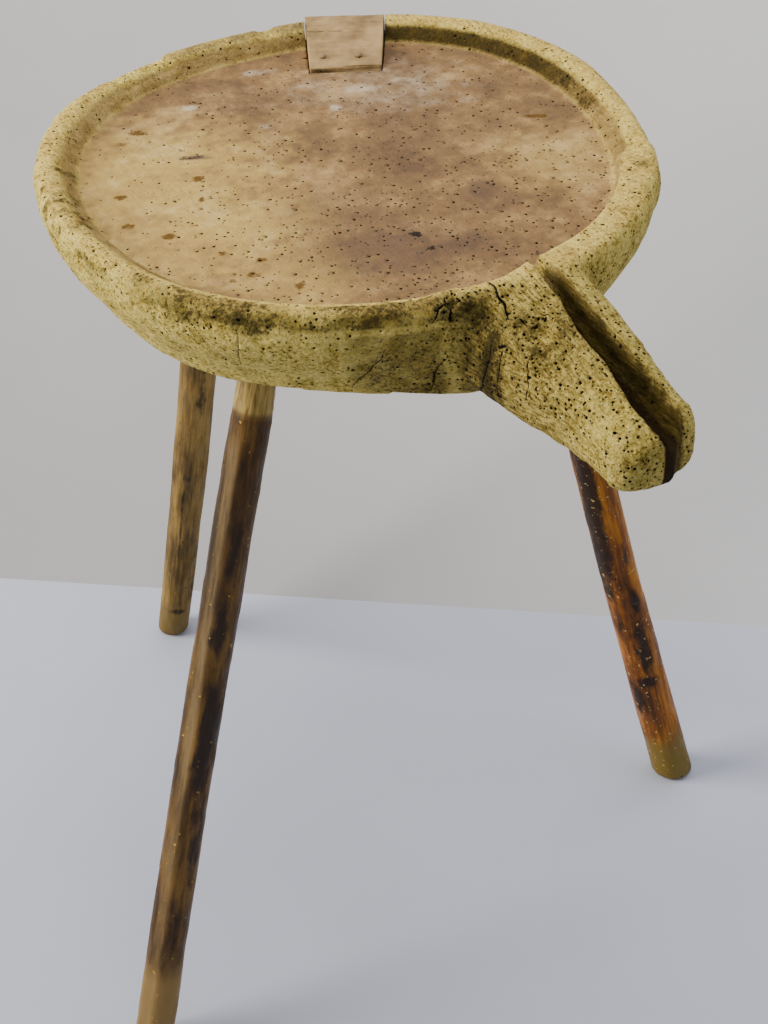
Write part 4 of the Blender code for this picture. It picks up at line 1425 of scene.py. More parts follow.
    def dress(self, body: bpy.types.Object, wood: bpy.types.Material) -> None:
        """Paints the masks that the slab wood reads."""
        mesh = body.data
        about = read_points(mesh) - np.array(self.axis)
        m = self.masks(about, read_normals(mesh))
        ragged = rough(about, 0.012, 131)
        broad = rough(about, 0.045, 141)
        weather = window(m["z"], -0.021, -0.007, 0.008) * window(m["azimuth"], -165.0, -106.0, 12.0) * m["side"]
        pocked = weather * step(ragged + 0.4 * broad, -0.30, 0.35)
        mould_and_shade = weather * (0.42 + 0.55 * ragged + 0.3 * broad)
        chips = window(m["azimuth"], -176.0, -152.0, 8.0) * window(m["z"], -0.012, 0.0, 0.01) * (1 - m["floor"])
        right_patch = np.exp(-((np.linalg.norm(about - np.array([0.252, -0.052, -0.002]), axis=1) / 0.013) ** 2))
        back = window(m["azimuth"], 62.0, 78.0, 6.0) * window(m["z"], -0.022, -0.013, 0.003)
        back = back * step(m["radius"], 0.228, 0.233)
        joint = window(m["azimuth"], 106.8, 109.5, 1.5) * m["wall"]
        # Painted shade along the line where the dish floor meets the wall.
        crease_shade = step(np.abs(m["radius"] - self.dish_radius + 0.002), 0.004, 0.001) * (1 - m["groove"])
        # Painted shade in the corner where the side meets the spout's root.
        corner = np.exp(-(((m["along"] - 0.046) / 0.012) ** 2)) * window(m["right"], -0.088, -0.066, 0.008)
        corner = corner * step(m["z"], -0.008, -0.02)
        # Painted shade on the adzed flat left of the spout, which faces away from the light.
        facet_shade = window(m["azimuth"], -89.0, -68.0, 7.0) * window(m["z"], -0.092, -0.024, 0.01) * m["side"]
        rim_knot = np.linalg.norm(about - np.array([0.0763, -0.2505, -0.004]), axis=1)
        scar = np.linalg.norm(about - np.array([0.140, -0.2852, -0.015]), axis=1)
        # The rim's outer edge at the front is darkened: partly weathering, partly painted shade where it turns from the
        # light.
        front_arris = window(m["azimuth"], -128.0, -76.0, 10.0) * window(m["radius"], 0.254, 0.275, 0.004)
        front_arris = front_arris * window(m["z"], -0.014, 0.01, 0.006)
        root = window(m["along"], 0.016, 0.058, 0.014) * window(m["right"], -0.078, -0.036, 0.012)
        # Mouldy patches, with painted shade added where the wall, corners and front face away from the light.
        mould_and_shade = np.maximum.reduce([
            mould_and_shade,
            chips * (0.42 + 0.8 * ragged),
            right_patch * (0.6 + 0.6 * ragged),
            back * (0.5 + 0.5 * ragged),
            # Painted shade on the inner wall at the back, which faces away from the light.
            window(m["azimuth"], 22.0, 84.0, 12.0) * m["wall"] * (0.62 + 0.35 * ragged),
            joint * (0.4 + 0.5 * ragged),
            crease_shade * (0.34 + 0.35 * ragged),
            corner * 0.85,
            facet_shade * (0.60 + 0.20 * broad + 0.14 * ragged),
            root * (0.55 + 0.35 * ragged),
            # Painted shade on the side of the groove away from the light.
            0.34 * m["groove"] * (1 - m["lit"]),
            step(scar, 0.055, 0.012) * (0.50 + 0.45 * ragged) * (1 - m["groove"]) * (1 - m["floor"]),
            step(rim_knot, 0.030, 0.008) * (0.55 + 0.4 * ragged) * (1 - m["floor"]),
            front_arris * (0.62 + 0.30 * ragged + 0.15 * broad),
        ])
        dark = np.maximum.reduce([
            step(rim_knot + 0.0030 * ragged, 0.0085, 0.0035),
            0.50 * step(scar + 0.0060 * ragged, 0.008, 0.002),
            self.spotted(about, "dark") * m["floor"],
        ])
        smoked = window(m["azimuth"], 100.0, 140.0, 7.0) * (0.62 * m["crest"] + 0.28 * m["wall"]) * (1 + 0.5 * ragged)
        # Painted shade: near azimuth 62 the inner wall takes its darker colours.
        clean_and_lit = step(np.abs(m["azimuth"] - 62.0), 20.0, 50.0)
        clean_and_lit = mix(clean_and_lit, self.spotted(about, "buff"), m["floor"])
        washed = np.maximum(step(m["along"], 0.10, 0.16), step(m["right"], 0.008, 0.016) * step(m["up"], 0.4, 0.9))
        clean_and_lit = mix(clean_and_lit, washed * (1 - m["groove"]), m["spout"])
        pitted = 0.28 * m["side"] + 0.18 * m["crest"] + 0.34 * m["spout"] + 0.10 * m["wall"] + 0.25 * m["under"]
        pitted = pitted * (0.75 + 0.55 * broad) + 0.6 * pocked
        worm = self.worm_share(about, read_normals(mesh))
        paint(mesh, "zones", [m["floor"], m["wall"], m["crest"]])
        violet = np.maximum(self.spotted(about, "violet") * m["floor"], smoked)
        rust, chalk = (self.spotted(about, kind) * m["floor"] for kind in ("rust", "chalk"))
        paint(mesh, "marks", [rust, violet, clean_and_lit, chalk])
        paint(mesh, "grime_and_shade", [mould_and_shade, dark, m["spout"]])
        # The second channel is the painted shade in the groove.
        paint(mesh, "wear", [worm, m["deep"] * (0.85 + 0.15 * ragged), pitted])
        mesh.materials[0] = wood
        mesh.shade_smooth()

    def build(
        self, wood: bpy.types.Material, bored: bpy.types.Material, patch: "RimPatch", legs: list["PoleLeg"]
    ) -> bpy.types.Object:
        """Makes the tray.

        Args:
            wood: Material of the slab.
            bored: Material inside holes and cracks.
            patch: The mend that is let into the rim.
            legs: The poles whose sockets are bored from below.

        Returns:
            The finished piece.
        """
        tray = self.body()
        self.sculpt(tray)
        tray.data.materials.clear()
        tray.data.materials.append(wood)
        tree = BVHTree.FromObject(tray, bpy.context.evaluated_depsgraph_get())
        slot = placed("slot", self.groove())
        slot.data.materials.append(wood)
        cutters = [slot] + [shake.cutter(tree, self.axis, bored) for shake in self.shakes()]
        recess = self.patch_recess(patch.toe - 0.0006, patch.toe_width + 0.0012, patch.rim_width + 0.0014, patch.seat)
        recess.data.materials.append(bored)
        cutters.append(recess)
        for leg in legs:
            socket = placed("socket", leg.socket())
            socket.data.materials.append(bored)
            cutters.append(socket)
        for cutter in cutters:
            combine(tray, "DIFFERENCE", cutter)
        about = read_points(tray.data) - np.array(self.axis)
        share = self.worm_share(about, read_normals(tray.data))
        count = self.holes.bore(tray, share, bored)
        self.dress(tray, wood)
        tray.name = "hewn_tray"
        log.info("tray: %d vertices, %d flight holes", len(tray.data.vertices), count)
        return tray


# Rim patch


@dataclass
class RimPatch:
    """Ramp-shaped mend let into the rim, its inner end standing a little proud of the dish floor."""

    axis: Vector
    toe: float = 0.1743
    toe_width: float = 0.0684
    rim_width: float = 0.0794
    seat: float = -0.024
    lip: float = 0.247
    rim: float = 0.2701
    toe_height: float = -0.0148
    top_height: float = -0.0018
    depth: float = 0.019

    def half_width(self, y: float) -> float:
        """Half its width at this distance from the dish's axis."""
        return mix(self.toe_width, self.rim_width, (y - self.toe) / (0.270 - self.toe)) / 2

    def off_crack(self, about: np.ndarray) -> np.ndarray:
        """Distance of each point from the crack across the patch."""
        return np.abs(about[:, 1] - 0.236 - 0.0015 * noise(about, 0.01, 25))

    def build(self, wood: bpy.types.Material, bored: bpy.types.Material) -> bpy.types.Object:
        """Makes the patch: worn arris, ragged toe, bowed face.

        Args:
            wood: Material of the patch.
            bored: Material of its few flight holes.

        Returns:
            The finished piece.
        """
        outline = [
            (self.toe, self.toe_height),
            (self.lip - 0.004, self.top_height - 0.0022),
            (self.lip + 0.003, self.top_height),
            (self.rim - 0.006, self.top_height - 0.0004),
            (self.rim - 0.001, self.top_height - 0.006),
            (self.rim + 0.0002, self.seat + 0.0005),
        ]
        sections = []
        for y, top in outline:
            half = self.half_width(y) - 0.0004
            low = self.seat + 0.0004
            top = max(top, low + 0.0006)
            corners = ((-half, low), (half, low), (half, top), (-half, top))
            sections.append([self.axis + Vector((x, y, z)) for x, z in corners])
        patch = placed("let_in_rim_patch", lofted("patch", sections))
        remeshed(patch, 0.0009, 2)
        mesh = patch.data
        points = read_points(mesh)
        normals = read_normals(mesh)
        about = points - np.array(self.axis)
        top = step(normals[:, 2], 0.3, 0.8)
        push = 0.0004 * rough(about, 0.02, 7) * top
        push = push + 0.00016 * noise(about * np.array([0.1, 1.0, 1.0]), 0.0016, 9) * top
        near_toe = step(about[:, 1], self.toe + 0.006, self.toe)
        push -= 0.0016 * near_toe * top * step(rough(about, 0.009, 13), -0.1, 0.4)
        # An old scar runs across its upper third.
        off_crack = self.off_crack(about)
        push -= 0.0007 * top * step(off_crack, 0.0016, 0.0003) * step(about[:, 0], 0.004, -0.006)
        points += normals * push[:, None]
        bitten = 0.0022 * (0.5 + 0.5 * noise(about * np.array([1.0, 0.0, 0.0]), 0.007, 15))
        bitten = bitten + 0.0040 * step(about[:, 0], -0.020, 0.030)
        points[:, 1] += near_toe * bitten * step(about[:, 2], -0.024, -0.018)
        # It has warped, so the left corner of its outer end has lifted and the right one has dropped.
        points[:, 2] += top * 0.0006 * about[:, 0] / 0.04 * -1
        write_points(mesh, points)
        mesh.materials.clear()
        mesh.materials.append(wood)
        share = 0.012 + 0.05 * step(about[:, 1], 0.22, 0.26) * top
        FlightHoles(seed=23).bore(patch, share, bored)
        about = read_points(mesh_of(patch)) - np.array(self.axis)
        ragged = rough(about, 0.006, 19)
        # Painted shade along the proud toe and low down where the patch sits in its seat, and soiling in its crack.
        dirt_and_shade = np.maximum.reduce([
            step(about[:, 1], self.toe + 0.0032, self.toe + 0.0004) * (0.75 + 0.3 * ragged),
            step(self.off_crack(about), 0.0026, 0.0006) * (0.52 + 0.4 * ragged) * step(about[:, 0], 0.010, -0.006),
            step(about[:, 2], -0.019, -0.021),
        ])
        paint(mesh_of(patch), "grime_and_shade", [dirt_and_shade])
        mesh_of(patch).materials[0] = wood
        mesh_of(patch).shade_smooth()
        log.info("rim patch: %d vertices", len(mesh_of(patch).vertices))
        return patch


def mesh_of(obj: bpy.types.Object) -> bpy.types.Mesh:
    """Mesh that an object has now."""
    return obj.data


# Nails


@dataclass
class ForgedNail:
    """Hand-forged nail of the patch: round tapering shank and a faceted, battered head."""

    node: str
    head: float = 0.0034
    shank: float = 0.0016
    seed: int = 1

    def build(self, iron: bpy.types.Material) -> bpy.types.Object:
        """Makes the nail where its CAD node is.

        Args:
            iron: Material of the nail.

        Returns:
            The finished piece.
        """
        points = read_points(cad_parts[self.node].data)
        top, bottom = points[points[:, 2].argmax()], points[points[:, 2].argmin()]
        middle = points.mean(axis=0)
        centred = points - middle
        _, _, directions = np.linalg.svd(centred, full_matrices=False)
        axis = Vector(directions[0])
        if axis.z < 0:
            axis.negate()
        lengths = centred @ np.array(axis)
        tip = Vector(middle) + axis * float(lengths.min())
        crown = Vector(middle) + axis * float(lengths.max())
        side = axis.orthogonal().normalized()
        across = Matrix((side, axis.cross(side), axis)).transposed()
        length = (crown - tip).length
        stations = [(0.0, 0.3), (0.35, 0.85), (0.9, 1.0)]
        sections = [circle(tip + axis * length * share, across, self.shank * wide, 16) for share, wide in stations]
        base = length - 0.0022
        for rise, wide in ((0.0, 0.55), (0.0001, 0.93), (0.0008, 1.0), (0.0014, 0.86), (0.0020, 0.52), (0.0022, 0.2)):
            ring = []
            for i in range(16):
                angle = math.tau * i / 16
                battered = 1 + 0.10 * (lattice(np.array([[i // 2, self.seed, 3]]), self.seed)[0] - 0.5)
                outwards = across @ Vector((math.cos(angle), math.sin(angle), 0.0))
                ring.append(tip + axis * (base + rise) + outwards * self.head * wide * battered)
            sections.append(ring)
        nail = placed(f"forged_{self.node}", lofted(self.node, sections))
        nail.data.materials.append(iron)
        nail.data.set_sharp_from_angle(angle=math.radians(40))
        log.info("%s: from %s to %s", self.node, bottom.round(4), top.round(4))
        return nail


# Legs


@dataclass(frozen=True)
class Knot:
    """Stub of a cut branch on a pole."""

    height: float  # above the floor
    bearing: float  # round the pole, in degrees
    radius: float = 0.009
    rise: float = 0.0018


@dataclass(frozen=True)
class Scorch:
    """Smoke-blackened patch on a pole."""

    height: float  # above the floor
    bearing: float  # round the pole, in degrees
    length: float  # half its length along the pole
    width: float  # half its width round the pole
    strength: float = 1.0


@dataclass
class PoleLeg:
    """Stripped pole with a shaved neck, a driven tenon, knots and knife facets."""

    place: str
    axis: Vector
    azimuth: float
    inset: float
    lean: float
    lean_azimuth: float
    foot: float
    middle: float
    top: float
    sideways: float
    outward: float
    knots: tuple[Knot, ...] = ()
    scorches: tuple[Scorch, ...] = ()
    flat_bearing: float = 0.0  # bearing of a long planed flat
    flat_depth: float = 0.0
    bare_length: float = 0.0  # shaved stretch under the tray
    foot_length: float = 0.04  # scuffed stretch above the floor
    seed: int = 1
    tenon: float = 0.0160
    tenon_length: float = 0.052
    neck: float = 0.060
    drop: float = 0.682

    def frame_axes(self) -> tuple[Vector, Vector, Matrix]:
        """Point where the pole meets the tray, the way up it, and the axes across and along it."""
        entry = self.axis + polar(0.270 - self.inset, self.azimuth, -0.098)
        outward = polar(math.tan(math.radians(self.lean)), self.lean_azimuth)
        up = (UP - outward).normalized()
        side = up.cross(UP).normalized()
        return entry, up, Matrix((side, side.cross(up), -up)).transposed()

    def centre(self, distance: float) -> Vector:
        """Point on its centre line, this far up from the underside of the tray."""
        entry, up, across = self.frame_axes()
        length = self.drop / up.z
        share = 1 + distance / length
        shoulder = 1 - self.neck / length
        bow = math.sin(math.pi * min(max(share / shoulder, 0.0), 1.0))
        return entry + up * distance + across @ Vector((self.sideways, self.outward, 0.0)) * bow

    def radius_at(self, distance: float) -> float:
        """Mean radius this far up from the underside of the tray."""
        _, up, _ = self.frame_axes()
        length = self.drop / up.z
        share = 1 + distance / length
        if distance > -self.neck:
            shaved = float(smooth(1 + distance / self.neck)) if distance < 0 else 1.0
            thick = mix(self.top, self.tenon, shaved)
            return thick - 0.0022 * max(distance, 0.0) / self.tenon_length
        if share < 0.5:
            return float(mix(self.foot, self.middle, smooth(share * 2)))
        return float(mix(self.middle, self.top, smooth(share * 2 - 1)))

    def socket(self) -> bpy.types.Mesh:
        """Bore of the blind socket, a hair wider than the tenon."""
        _, _, across = self.frame_axes()
        rings = [circle(self.centre(d), across, self.radius_at(max(d, 0.0)) + 0.0009, 40) for d in (-0.02, 0.0, 0.0545)]
        return lofted("socket", rings)

    def build(self, wood: bpy.types.Material, bored: bpy.types.Material) -> bpy.types.Object:
        """Makes the leg.

        Args:
            wood: Material of the pole.
            bored: Material of its few flight holes.

        Returns:
            The finished piece.
        """
        _, up, across = self.frame_axes()
        length = self.drop / up.z
        sides, spacing = 56, 0.0042
        rows = int((length + self.tenon_length + 0.03) / spacing)
        start = -length - 0.03
        distances = [mix(start, self.tenon_length, i / rows) for i in range(rows + 1)]
        rings: list[list[Vector]] = []
        for distance in distances:
            centre, radius = self.centre(distance), self.radius_at(distance)
            height = length + distance
            ring = []
            for k in range(sides):
                bearing = 360.0 * k / sides
                reach = radius
                if self.flat_depth and distance < -self.neck:
                    flat = math.cos(math.radians(bearing - self.flat_bearing))
                    limit = radius - self.flat_depth * window(height, 0.02, length - self.neck - 0.05, 0.05)
                    if flat > 0 and reach * flat > limit:
                        reach = limit / flat
                for knot in self.knots:
                    around = math.remainder(math.radians(bearing - knot.bearing), math.tau) * radius
                    away = math.hypot(around, height - knot.height) / knot.radius
                    reach += knot.rise * float(step(away, 1.3, 0.3)) - 0.6 * knot.rise * float(step(away, 0.35, 0.05))
                angle = math.radians(bearing)
                ring.append(centre + across @ Vector((reach * math.cos(angle), reach * math.sin(angle), 0.0)))
            rings.append(ring)
        points = np.array([list(p) for ring in rings for p in ring])
        along = np.repeat(np.array(distances), sides)
        centres = np.repeat(np.array([list(self.centre(d)) for d in distances]), sides, axis=0)
        radial = points - centres
        radial /= np.linalg.norm(radial, axis=1)[:, None]
        stretched = points * np.array([1.0, 1.0, 0.28])
        body = step(along, 0.0, -0.012)
        push = 0.0005 * facets(points * np.array([1.0, 1.0, 0.16]), 0.015, 30 + self.seed) * body
        push += 0.0008 * noise(stretched, 0.030, 40 + self.seed) * body
        push += 0.00035 * rough(stretched, 0.007, 50 + self.seed) * body
        shaved = facets(points * np.array([1.0, 1.0, 0.5]), 0.010, 60 + self.seed)
        push += 0.0007 * shaved * step(along, -self.neck - 0.01, -self.neck) * body
        points = points + radial * push[:, None]
        bm = bmesh.new()
        verts = [bm.verts.new(p) for p in points]
        grid = [verts[i : i + sides] for i in range(0, len(verts), sides)]
        join_rings(bm, grid)
        bm.faces.new(grid[0])
        bm.faces.new(grid[-1])
        cut = bmesh.ops.bisect_plane(
            bm, geom=bm.verts[:] + bm.edges[:] + bm.faces[:], dist=1e-7,
            plane_co=(0.0, 0.0, 0.0002), plane_no=UP, clear_inner=True,
        )
        bmesh.ops.contextual_create(bm, geom=[e for e in cut["geom_cut"] if isinstance(e, bmesh.types.BMEdge)])
        leg = placed(f"pole_leg_{self.place}", finish_mesh(f"leg_{self.place}", bm))
        self.wear_foot(leg)
        leg.data.materials.append(wood)
        share = np.full(len(leg.data.vertices), 0.014)
        FlightHoles(seed=30 + self.seed, thickest=6000.0, largest=0.0010).bore(leg, share, bored)
        self.dress(leg, wood)
        log.info("leg %s: %d vertices", self.place, len(leg.data.vertices))
        return leg

    def wear_foot(self, leg: bpy.types.Object) -> None:
        """Rounds the edge of the sole."""
        points = read_points(leg.data)
        _, up, _ = self.frame_axes()
        length = self.drop / up.z
        sole = np.array(list(self.centre(-length)))
        low = step(points[:, 2], 0.007, 0.0) ** 2
        centre = sole + np.outer(points[:, 2] / up.z, np.array(up))
        points[:, :2] = mix(points[:, :2], centre[:, :2], (low * 0.16)[:, None])
        write_points(leg.data, points)

    def dress(self, leg: bpy.types.Object, wood: bpy.types.Material) -> None:
        """Paints where the pole is bare and dark, with a painted highlight along its planed flat."""
        mesh = leg.data
        points = read_points(mesh)
        _, up, across = self.frame_axes()
        length = self.drop / up.z
        entry = np.array(self.frame_axes()[0])
        along = (points - entry) @ np.array(up)
        ragged = rough(points, 0.02, 70 + self.seed)
        edge = along + 0.003 * ragged
        bare = np.zeros(len(points))
        if self.bare_length:
            bare = step(edge, -self.bare_length - 0.004, -self.bare_length + 0.003)
        centres = entry + np.outer(along, np.array(up))
        radial = points - centres
        local = radial @ np.array(across)
        bearing = np.degrees(np.arctan2(local[:, 1], local[:, 0]))
        height = length + along

        def away_from(mark_height: float, mark_bearing: float, half_length: float, half_width: float) -> np.ndarray:
            """Distance from a mark, counted in its half sizes."""
            around = np.radians((bearing - mark_bearing + 180) % 360 - 180) * self.middle
            return np.hypot(around / half_width, (height - mark_height) / half_length)

        # A painted highlight runs along the planed flat, paler higher up.
        off = np.abs((bearing - self.flat_bearing + 180) % 360 - 180)
        rubbed = step(off, 30.0, 8.0) if self.flat_depth else np.zeros(len(points))
        rubbed = rubbed * step(along, -self.bare_length - 0.01, -self.bare_length - 0.04)
        rubbed *= 0.75 + 0.7 * rough(points * np.array([1.0, 1.0, 0.3]), 0.03, 80 + self.seed)
        rubbed *= mix(0.35, 1.0, step(height, 0.08, 0.34))
        dark = np.zeros(len(points))
        for knot in self.knots:
            off_knot = away_from(knot.height, knot.bearing, knot.radius, knot.radius)
            dark = np.maximum(dark, 0.8 * step(off_knot, 1.2, 0.5))
        for mark in self.scorches:
            away = away_from(mark.height, mark.bearing, mark.length, mark.width)
            dark = np.maximum(dark, mark.strength * step(away + 0.5 * ragged, 1.9, 0.2))
        # The lowest centimetre is painted darker.
        dark = np.maximum(dark, 0.5 * step(height, 0.010, 0.0))
        foot = step(height + 0.015 * ragged, self.foot_length + 0.025, self.foot_length - 0.02)
        # The second channel is the painted highlight along the flat.
        paint(mesh, "wear", [bare, rubbed, dark * 0.75, foot])
        mesh.materials[0] = wood
        mesh.shade_smooth()


# Studio


@dataclass(frozen=True)
class Studio:
    """Plain pale floor and backdrop, soft lights and the camera."""

    axis: Vector
    camera_offset: Vector = field(default_factory=lambda: Vector((0.0198, -1.4030, 0.7506)))
    dip: float = 39.76  # degrees below the horizon
    roll: float = -2.25
    sensor: float = 36.0  # long side in millimetres
    focal: float = 63.28
    floor_colour: str = "#b2b6c5"
    wall_colour: str = "#c9c8c7"

    def surface(self, name: str, code: str, painted_light_rise: float) -> bpy.types.Material:
        """Plain matt paper with a faint cloudiness and painted light that makes it this much lighter to the right."""
        material, graph, place = new_material(name)
        clouds = graph.add(NOISE, {"Vector": place, "Scale": 2.5, "Detail": 4.0})
        limits = {"Value": clouds, "From Min": 0.35, "From Max": 0.65, "To Min": 0.96, "To Max": 1.03}
        tone = graph.add(RANGE, limits)
        # Painted light: the paper grows lighter to the right.
        across = graph.add("ShaderNodeSeparateXYZ", {0: place})
        limits = {"Value": across, "From Min": -0.6, "From Max": 0.7, "To Min": 1 - painted_light_rise, "To Max": 1 + painted_light_rise}
        lean = graph.add(RANGE, limits)
        tone = graph.add(MATH, {0: tone, 1: lean}, operation="MULTIPLY")
        grey = graph.add("ShaderNodeCombineColor", {0: tone, 1: tone, 2: tone})
        colour = graph.add(MIX, {0: 1.0, 6: srgb(code), 7: grey}, blend_type="MULTIPLY", **COLOURED)
        paper = graph.add("ShaderNodeBsdfPrincipled", {"Base Color": colour, "Roughness": 0.9})
        behind = graph.add("ShaderNodeNewGeometry", output="Backfacing")
        shader = graph.add("ShaderNodeMixShader", {0: behind, 1: paper, 2: graph.add("ShaderNodeBsdfTransparent")})
        graph.add("ShaderNodeOutputMaterial", {"Surface": shader})
        return material

    def sweep(self) -> None:
        """Floor and backdrop. Each is clear from behind, so that the table can be seen from every side."""
        for name, code, painted_light_rise, corners in (
            ("studio_floor", self.floor_colour, 0.06, ((-4, -4, 0), (4, -4, 0), (4, 4, 0), (-4, 4, 0))),
            ("studio_backdrop", self.wall_colour, 0.32, ((-4, 0.92, 0), (4, -0.29, 0), (4, 1.51, 4), (-4, 2.72, 4))),
        ):
            mesh = bpy.data.meshes.new(name)
            mesh.from_pydata([Vector(c) for c in corners], [], [(0, 1, 2, 3)])
            mesh.materials.append(self.surface(name + "_paper", code, painted_light_rise))
            placed(name, mesh)

    def light(self, name: str, place: Vector, aim: Vector, size: float, power: float, colour: str) -> None:
        """Soft square light that faces a point.

        Args:
            name: Name of the light.
            place: Where it stands.
            aim: What it faces.
            size: Length of its side in metres.
            power: Its power in watts.
            colour: Its sRGB hex colour.
        """
        data = bpy.data.lights.new(name, "AREA")
        data.size = size
        data.energy = power
        data.color = srgb(colour)[:3]
        lamp = bpy.data.objects.new(name, data)
        lamp.location = place
        lamp.rotation_euler = (aim - place).to_track_quat("-Z", "Y").to_euler()
        bpy.context.scene.collection.objects.link(lamp)

    def camera(self) -> None:
        """Camera above and in front of the table, tipped a little to one side."""
        dip, roll = math.radians(self.dip), math.radians(self.roll)
        forward = Vector((0.0, math.cos(dip), -math.sin(dip)))
        right = Vector((1.0, 0.0, 0.0))
        up = right.cross(forward)
        tipped_right = right * math.cos(roll) + up * math.sin(roll)
        tipped_up = up * math.cos(roll) - right * math.sin(roll)
        data = bpy.data.cameras.new("camera")
        data.lens = self.focal
        data.sensor_width = self.sensor
        data.sensor_fit = "AUTO"
        data.clip_start = 0.05
        made = bpy.data.objects.new("camera", data)
        turn = Matrix((tipped_right, tipped_up, -forward)).transposed().to_4x4()
        made.matrix_world = Matrix.Translation(self.axis + self.camera_offset) @ turn
        bpy.context.scene.collection.objects.link(made)
        bpy.context.scene.camera = made

    def build(self) -> None:
        """Sets up the floor, the lights, the world and the camera."""
        self.sweep()
        aim = Vector((self.axis.x, self.axis.y, 0.65))
        self.light("window_left", Vector((-2.65, 0.0, 1.85)), aim, 1.6, 150.0, "#fffaf2")
        self.light("ceiling", Vector((0.1, 0.6, 3.0)), aim, 2.0, 52.0, "#ffffff")
        self.light("fill_right", Vector((2.4, -0.6, 1.7)), aim, 1.8, 12.0, "#f4f7ff")
        self.light("fill_front", Vector((-0.4, -2.8, 1.5)), aim, 2.4, 8.0, "#ffffff")
        world = bpy.data.worlds.new("studio")
        world.use_nodes = True
        graph = Graph(world.node_tree)
        background = graph.add("ShaderNodeBackground", {"Color": srgb("#f2f4f8"), "Strength": 0.35})
        graph.add("ShaderNodeOutputWorld", {"Surface": background})
        bpy.context.scene.world = world
        self.camera()


# The whole


def leg_family(axis: Vector) -> list[PoleLeg]:
    """The three poles with their own leans, bows, knots and blackened patches."""
    return [
        PoleLeg(
            "front", axis, -114.5, 0.086, 20.4, -127.0, 0.0186, 0.0176, 0.0174, -0.002, 0.0,
            knots=(Knot(0.60, -60.0, 0.008, 0.0010),),
            scorches=(
                Scorch(0.552, 40.0, 0.038, 0.006, 0.7),
                Scorch(0.470, 48.0, 0.036, 0.007, 0.9),
                Scorch(0.363, 36.0, 0.058, 0.009, 0.95),
                Scorch(0.250, 20.0, 0.050, 0.008, 0.6),
                Scorch(0.143, 50.0, 0.050, 0.008, 0.4),
                Scorch(0.668, 50.0, 0.005, 0.030, 0.35),
                Scorch(0.420, -100.0, 0.090, 0.010, 0.8),
                Scorch(0.180, -140.0, 0.080, 0.010, 0.8),
            ),
            flat_bearing=94.0, flat_depth=0.0016, bare_length=0.052, foot_length=0.10, seed=1,
        ),
        PoleLeg(
            "back_left", axis, 137.0, 0.089, 12.95, 137.0, 0.0182, 0.0194, 0.0186, -0.005, 0.0,
            knots=(Knot(0.29, -45.0, 0.008, 0.0014),),
            scorches=(
                Scorch(0.051, -50.0, 0.005, 0.014, 0.8),
                Scorch(0.240, -38.0, 0.100, 0.0016, 0.9),
                Scorch(0.430, -75.0, 0.070, 0.005, 0.7),
                Scorch(0.120, -110.0, 0.060, 0.004, 0.6),
                Scorch(0.350, 120.0, 0.080, 0.008, 0.7),
            ),
            foot_length=0.05, seed=2,
        ),
        PoleLeg(
            "right", axis, -5.0, 0.101, 13.7, -6.5, 0.0213, 0.0190, 0.0186, 0.0, -0.004,
            scorches=(
                Scorch(0.450, -140.0, 0.150, 0.012, 1.0),
                Scorch(0.337, -128.0, 0.080, 0.010, 1.0),
                Scorch(0.331, 150.0, 0.015, 0.0035, 1.0),
                Scorch(0.267, 152.0, 0.016, 0.0055, 1.0),
                Scorch(0.206, 168.0, 0.034, 0.008, 1.0),
                Scorch(0.158, -175.0, 0.009, 0.012, 0.9),
                Scorch(0.130, -135.0, 0.030, 0.006, 1.0),
                Scorch(0.235, -150.0, 0.050, 0.014, 0.45),
                Scorch(0.480, 130.0, 0.060, 0.004, 0.9),
                Scorch(0.300, 40.0, 0.120, 0.012, 0.9),
                Scorch(0.550, -30.0, 0.080, 0.014, 0.9),
            ),
            foot_length=0.065, seed=3,
        ),
    ]


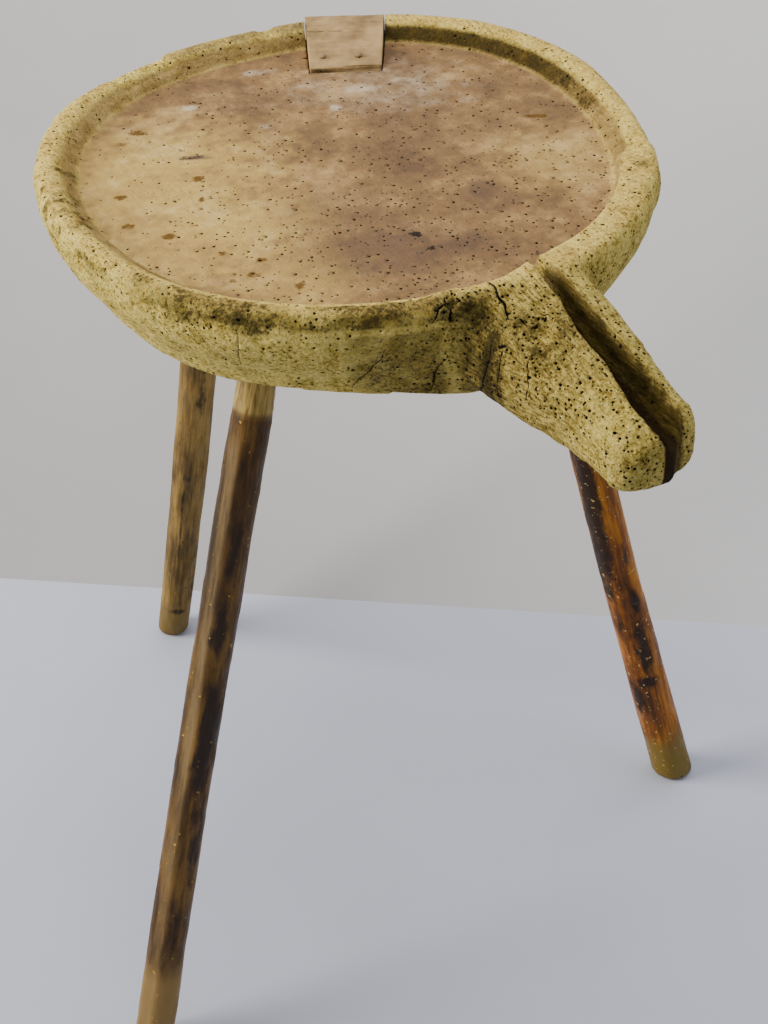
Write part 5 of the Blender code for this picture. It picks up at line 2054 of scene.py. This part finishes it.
def pole_finishes() -> dict[str, PoleWood]:
    """Finish of each pole."""
    return {
        "front": PoleWood(
            "smoked_hazel_pole", bare="#ab9350", rubbed="#78633e", light="#6c4e1d", body="#4a3210", dark="#2e1f09",
            scorch="#261a13", foot="#866b3a", fleck="#c79a34", scorched=0.55, flecked=0.5, sheen=0.42, shift=0.0,
        ),
        "back_left": PoleWood(
            "olive_weathered_pole", bare="#a48228", rubbed="#94783a", light="#93763a", body="#735a28", dark="#4d3a16",
            scorch="#241b0c", foot="#6b572a", fleck="#9c8340", scorched=0.05, flecked=0.3, sheen=0.58, shift=2.3,
        ),
        "right": PoleWood(
            "charred_amber_pole", bare="#8f6422", rubbed="#8f550f", light="#ac6c06", body="#7a4303", dark="#422504",
            scorch="#1e1105", foot="#72601f", fleck="#c4ab6a", scorched=0.30, flecked=0.9, sheen=0.42, shift=5.1,
        ),
    }


def adopt(piece: bpy.types.Object, node: str) -> None:
    """Makes a piece stand for a CAD node and ride on the object's one body."""
    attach(piece, ROOT)
    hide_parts(node)


def main() -> None:
    """Builds the table and its setting."""
    logging.basicConfig(level=logging.INFO, format="%(name)s: %(message)s")
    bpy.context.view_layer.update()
    axis = Setting().axis()
    Studio(axis).build()

    slab_wood = SlabWood().build(axis)
    bored = BoredWood().build()
    iron = ForgedIron().build()
    legs = leg_family(axis)
    patch = RimPatch(axis)

    adopt(Tray(axis).build(slab_wood, bored, patch, legs), "tray")
    patch_tones = ((0.38, "#7b623e"), (0.5, "#957a50"), (0.62, "#ab8d60"))
    patch_wood = PlankWood("worn_riven_patch_wood", patch_tones, figure=0.2)
    adopt(patch.build(patch_wood.build(), bored), "rim_patch")
    for number, node in enumerate(("patch_nail_left", "patch_nail_right")):
        adopt(ForgedNail(node, seed=number + 1).build(iron), node)
    finishes = pole_finishes()
    for leg in legs:
        wood = finishes[leg.place].build(leg.frame_axes()[2].transposed())
        adopt(leg.build(wood, bored), f"leg_{leg.place}")
    wedge_tones = ((0.38, "#7b5628"), (0.5, "#a67c46"), (0.62, "#c29a62"))
    wedge_wood = PlankWood("riven_oak_wedge", wedge_tones, Grain.POLE, 0.0018).build()
    for place in ("front", "back_left", "right"):
        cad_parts[f"wedge_{place}"].data.materials.clear()
        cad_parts[f"wedge_{place}"].data.materials.append(wedge_wood)
        log.info("wedge %s: its CAD solid, dressed", place)


if __name__ == "__main__":
    main()
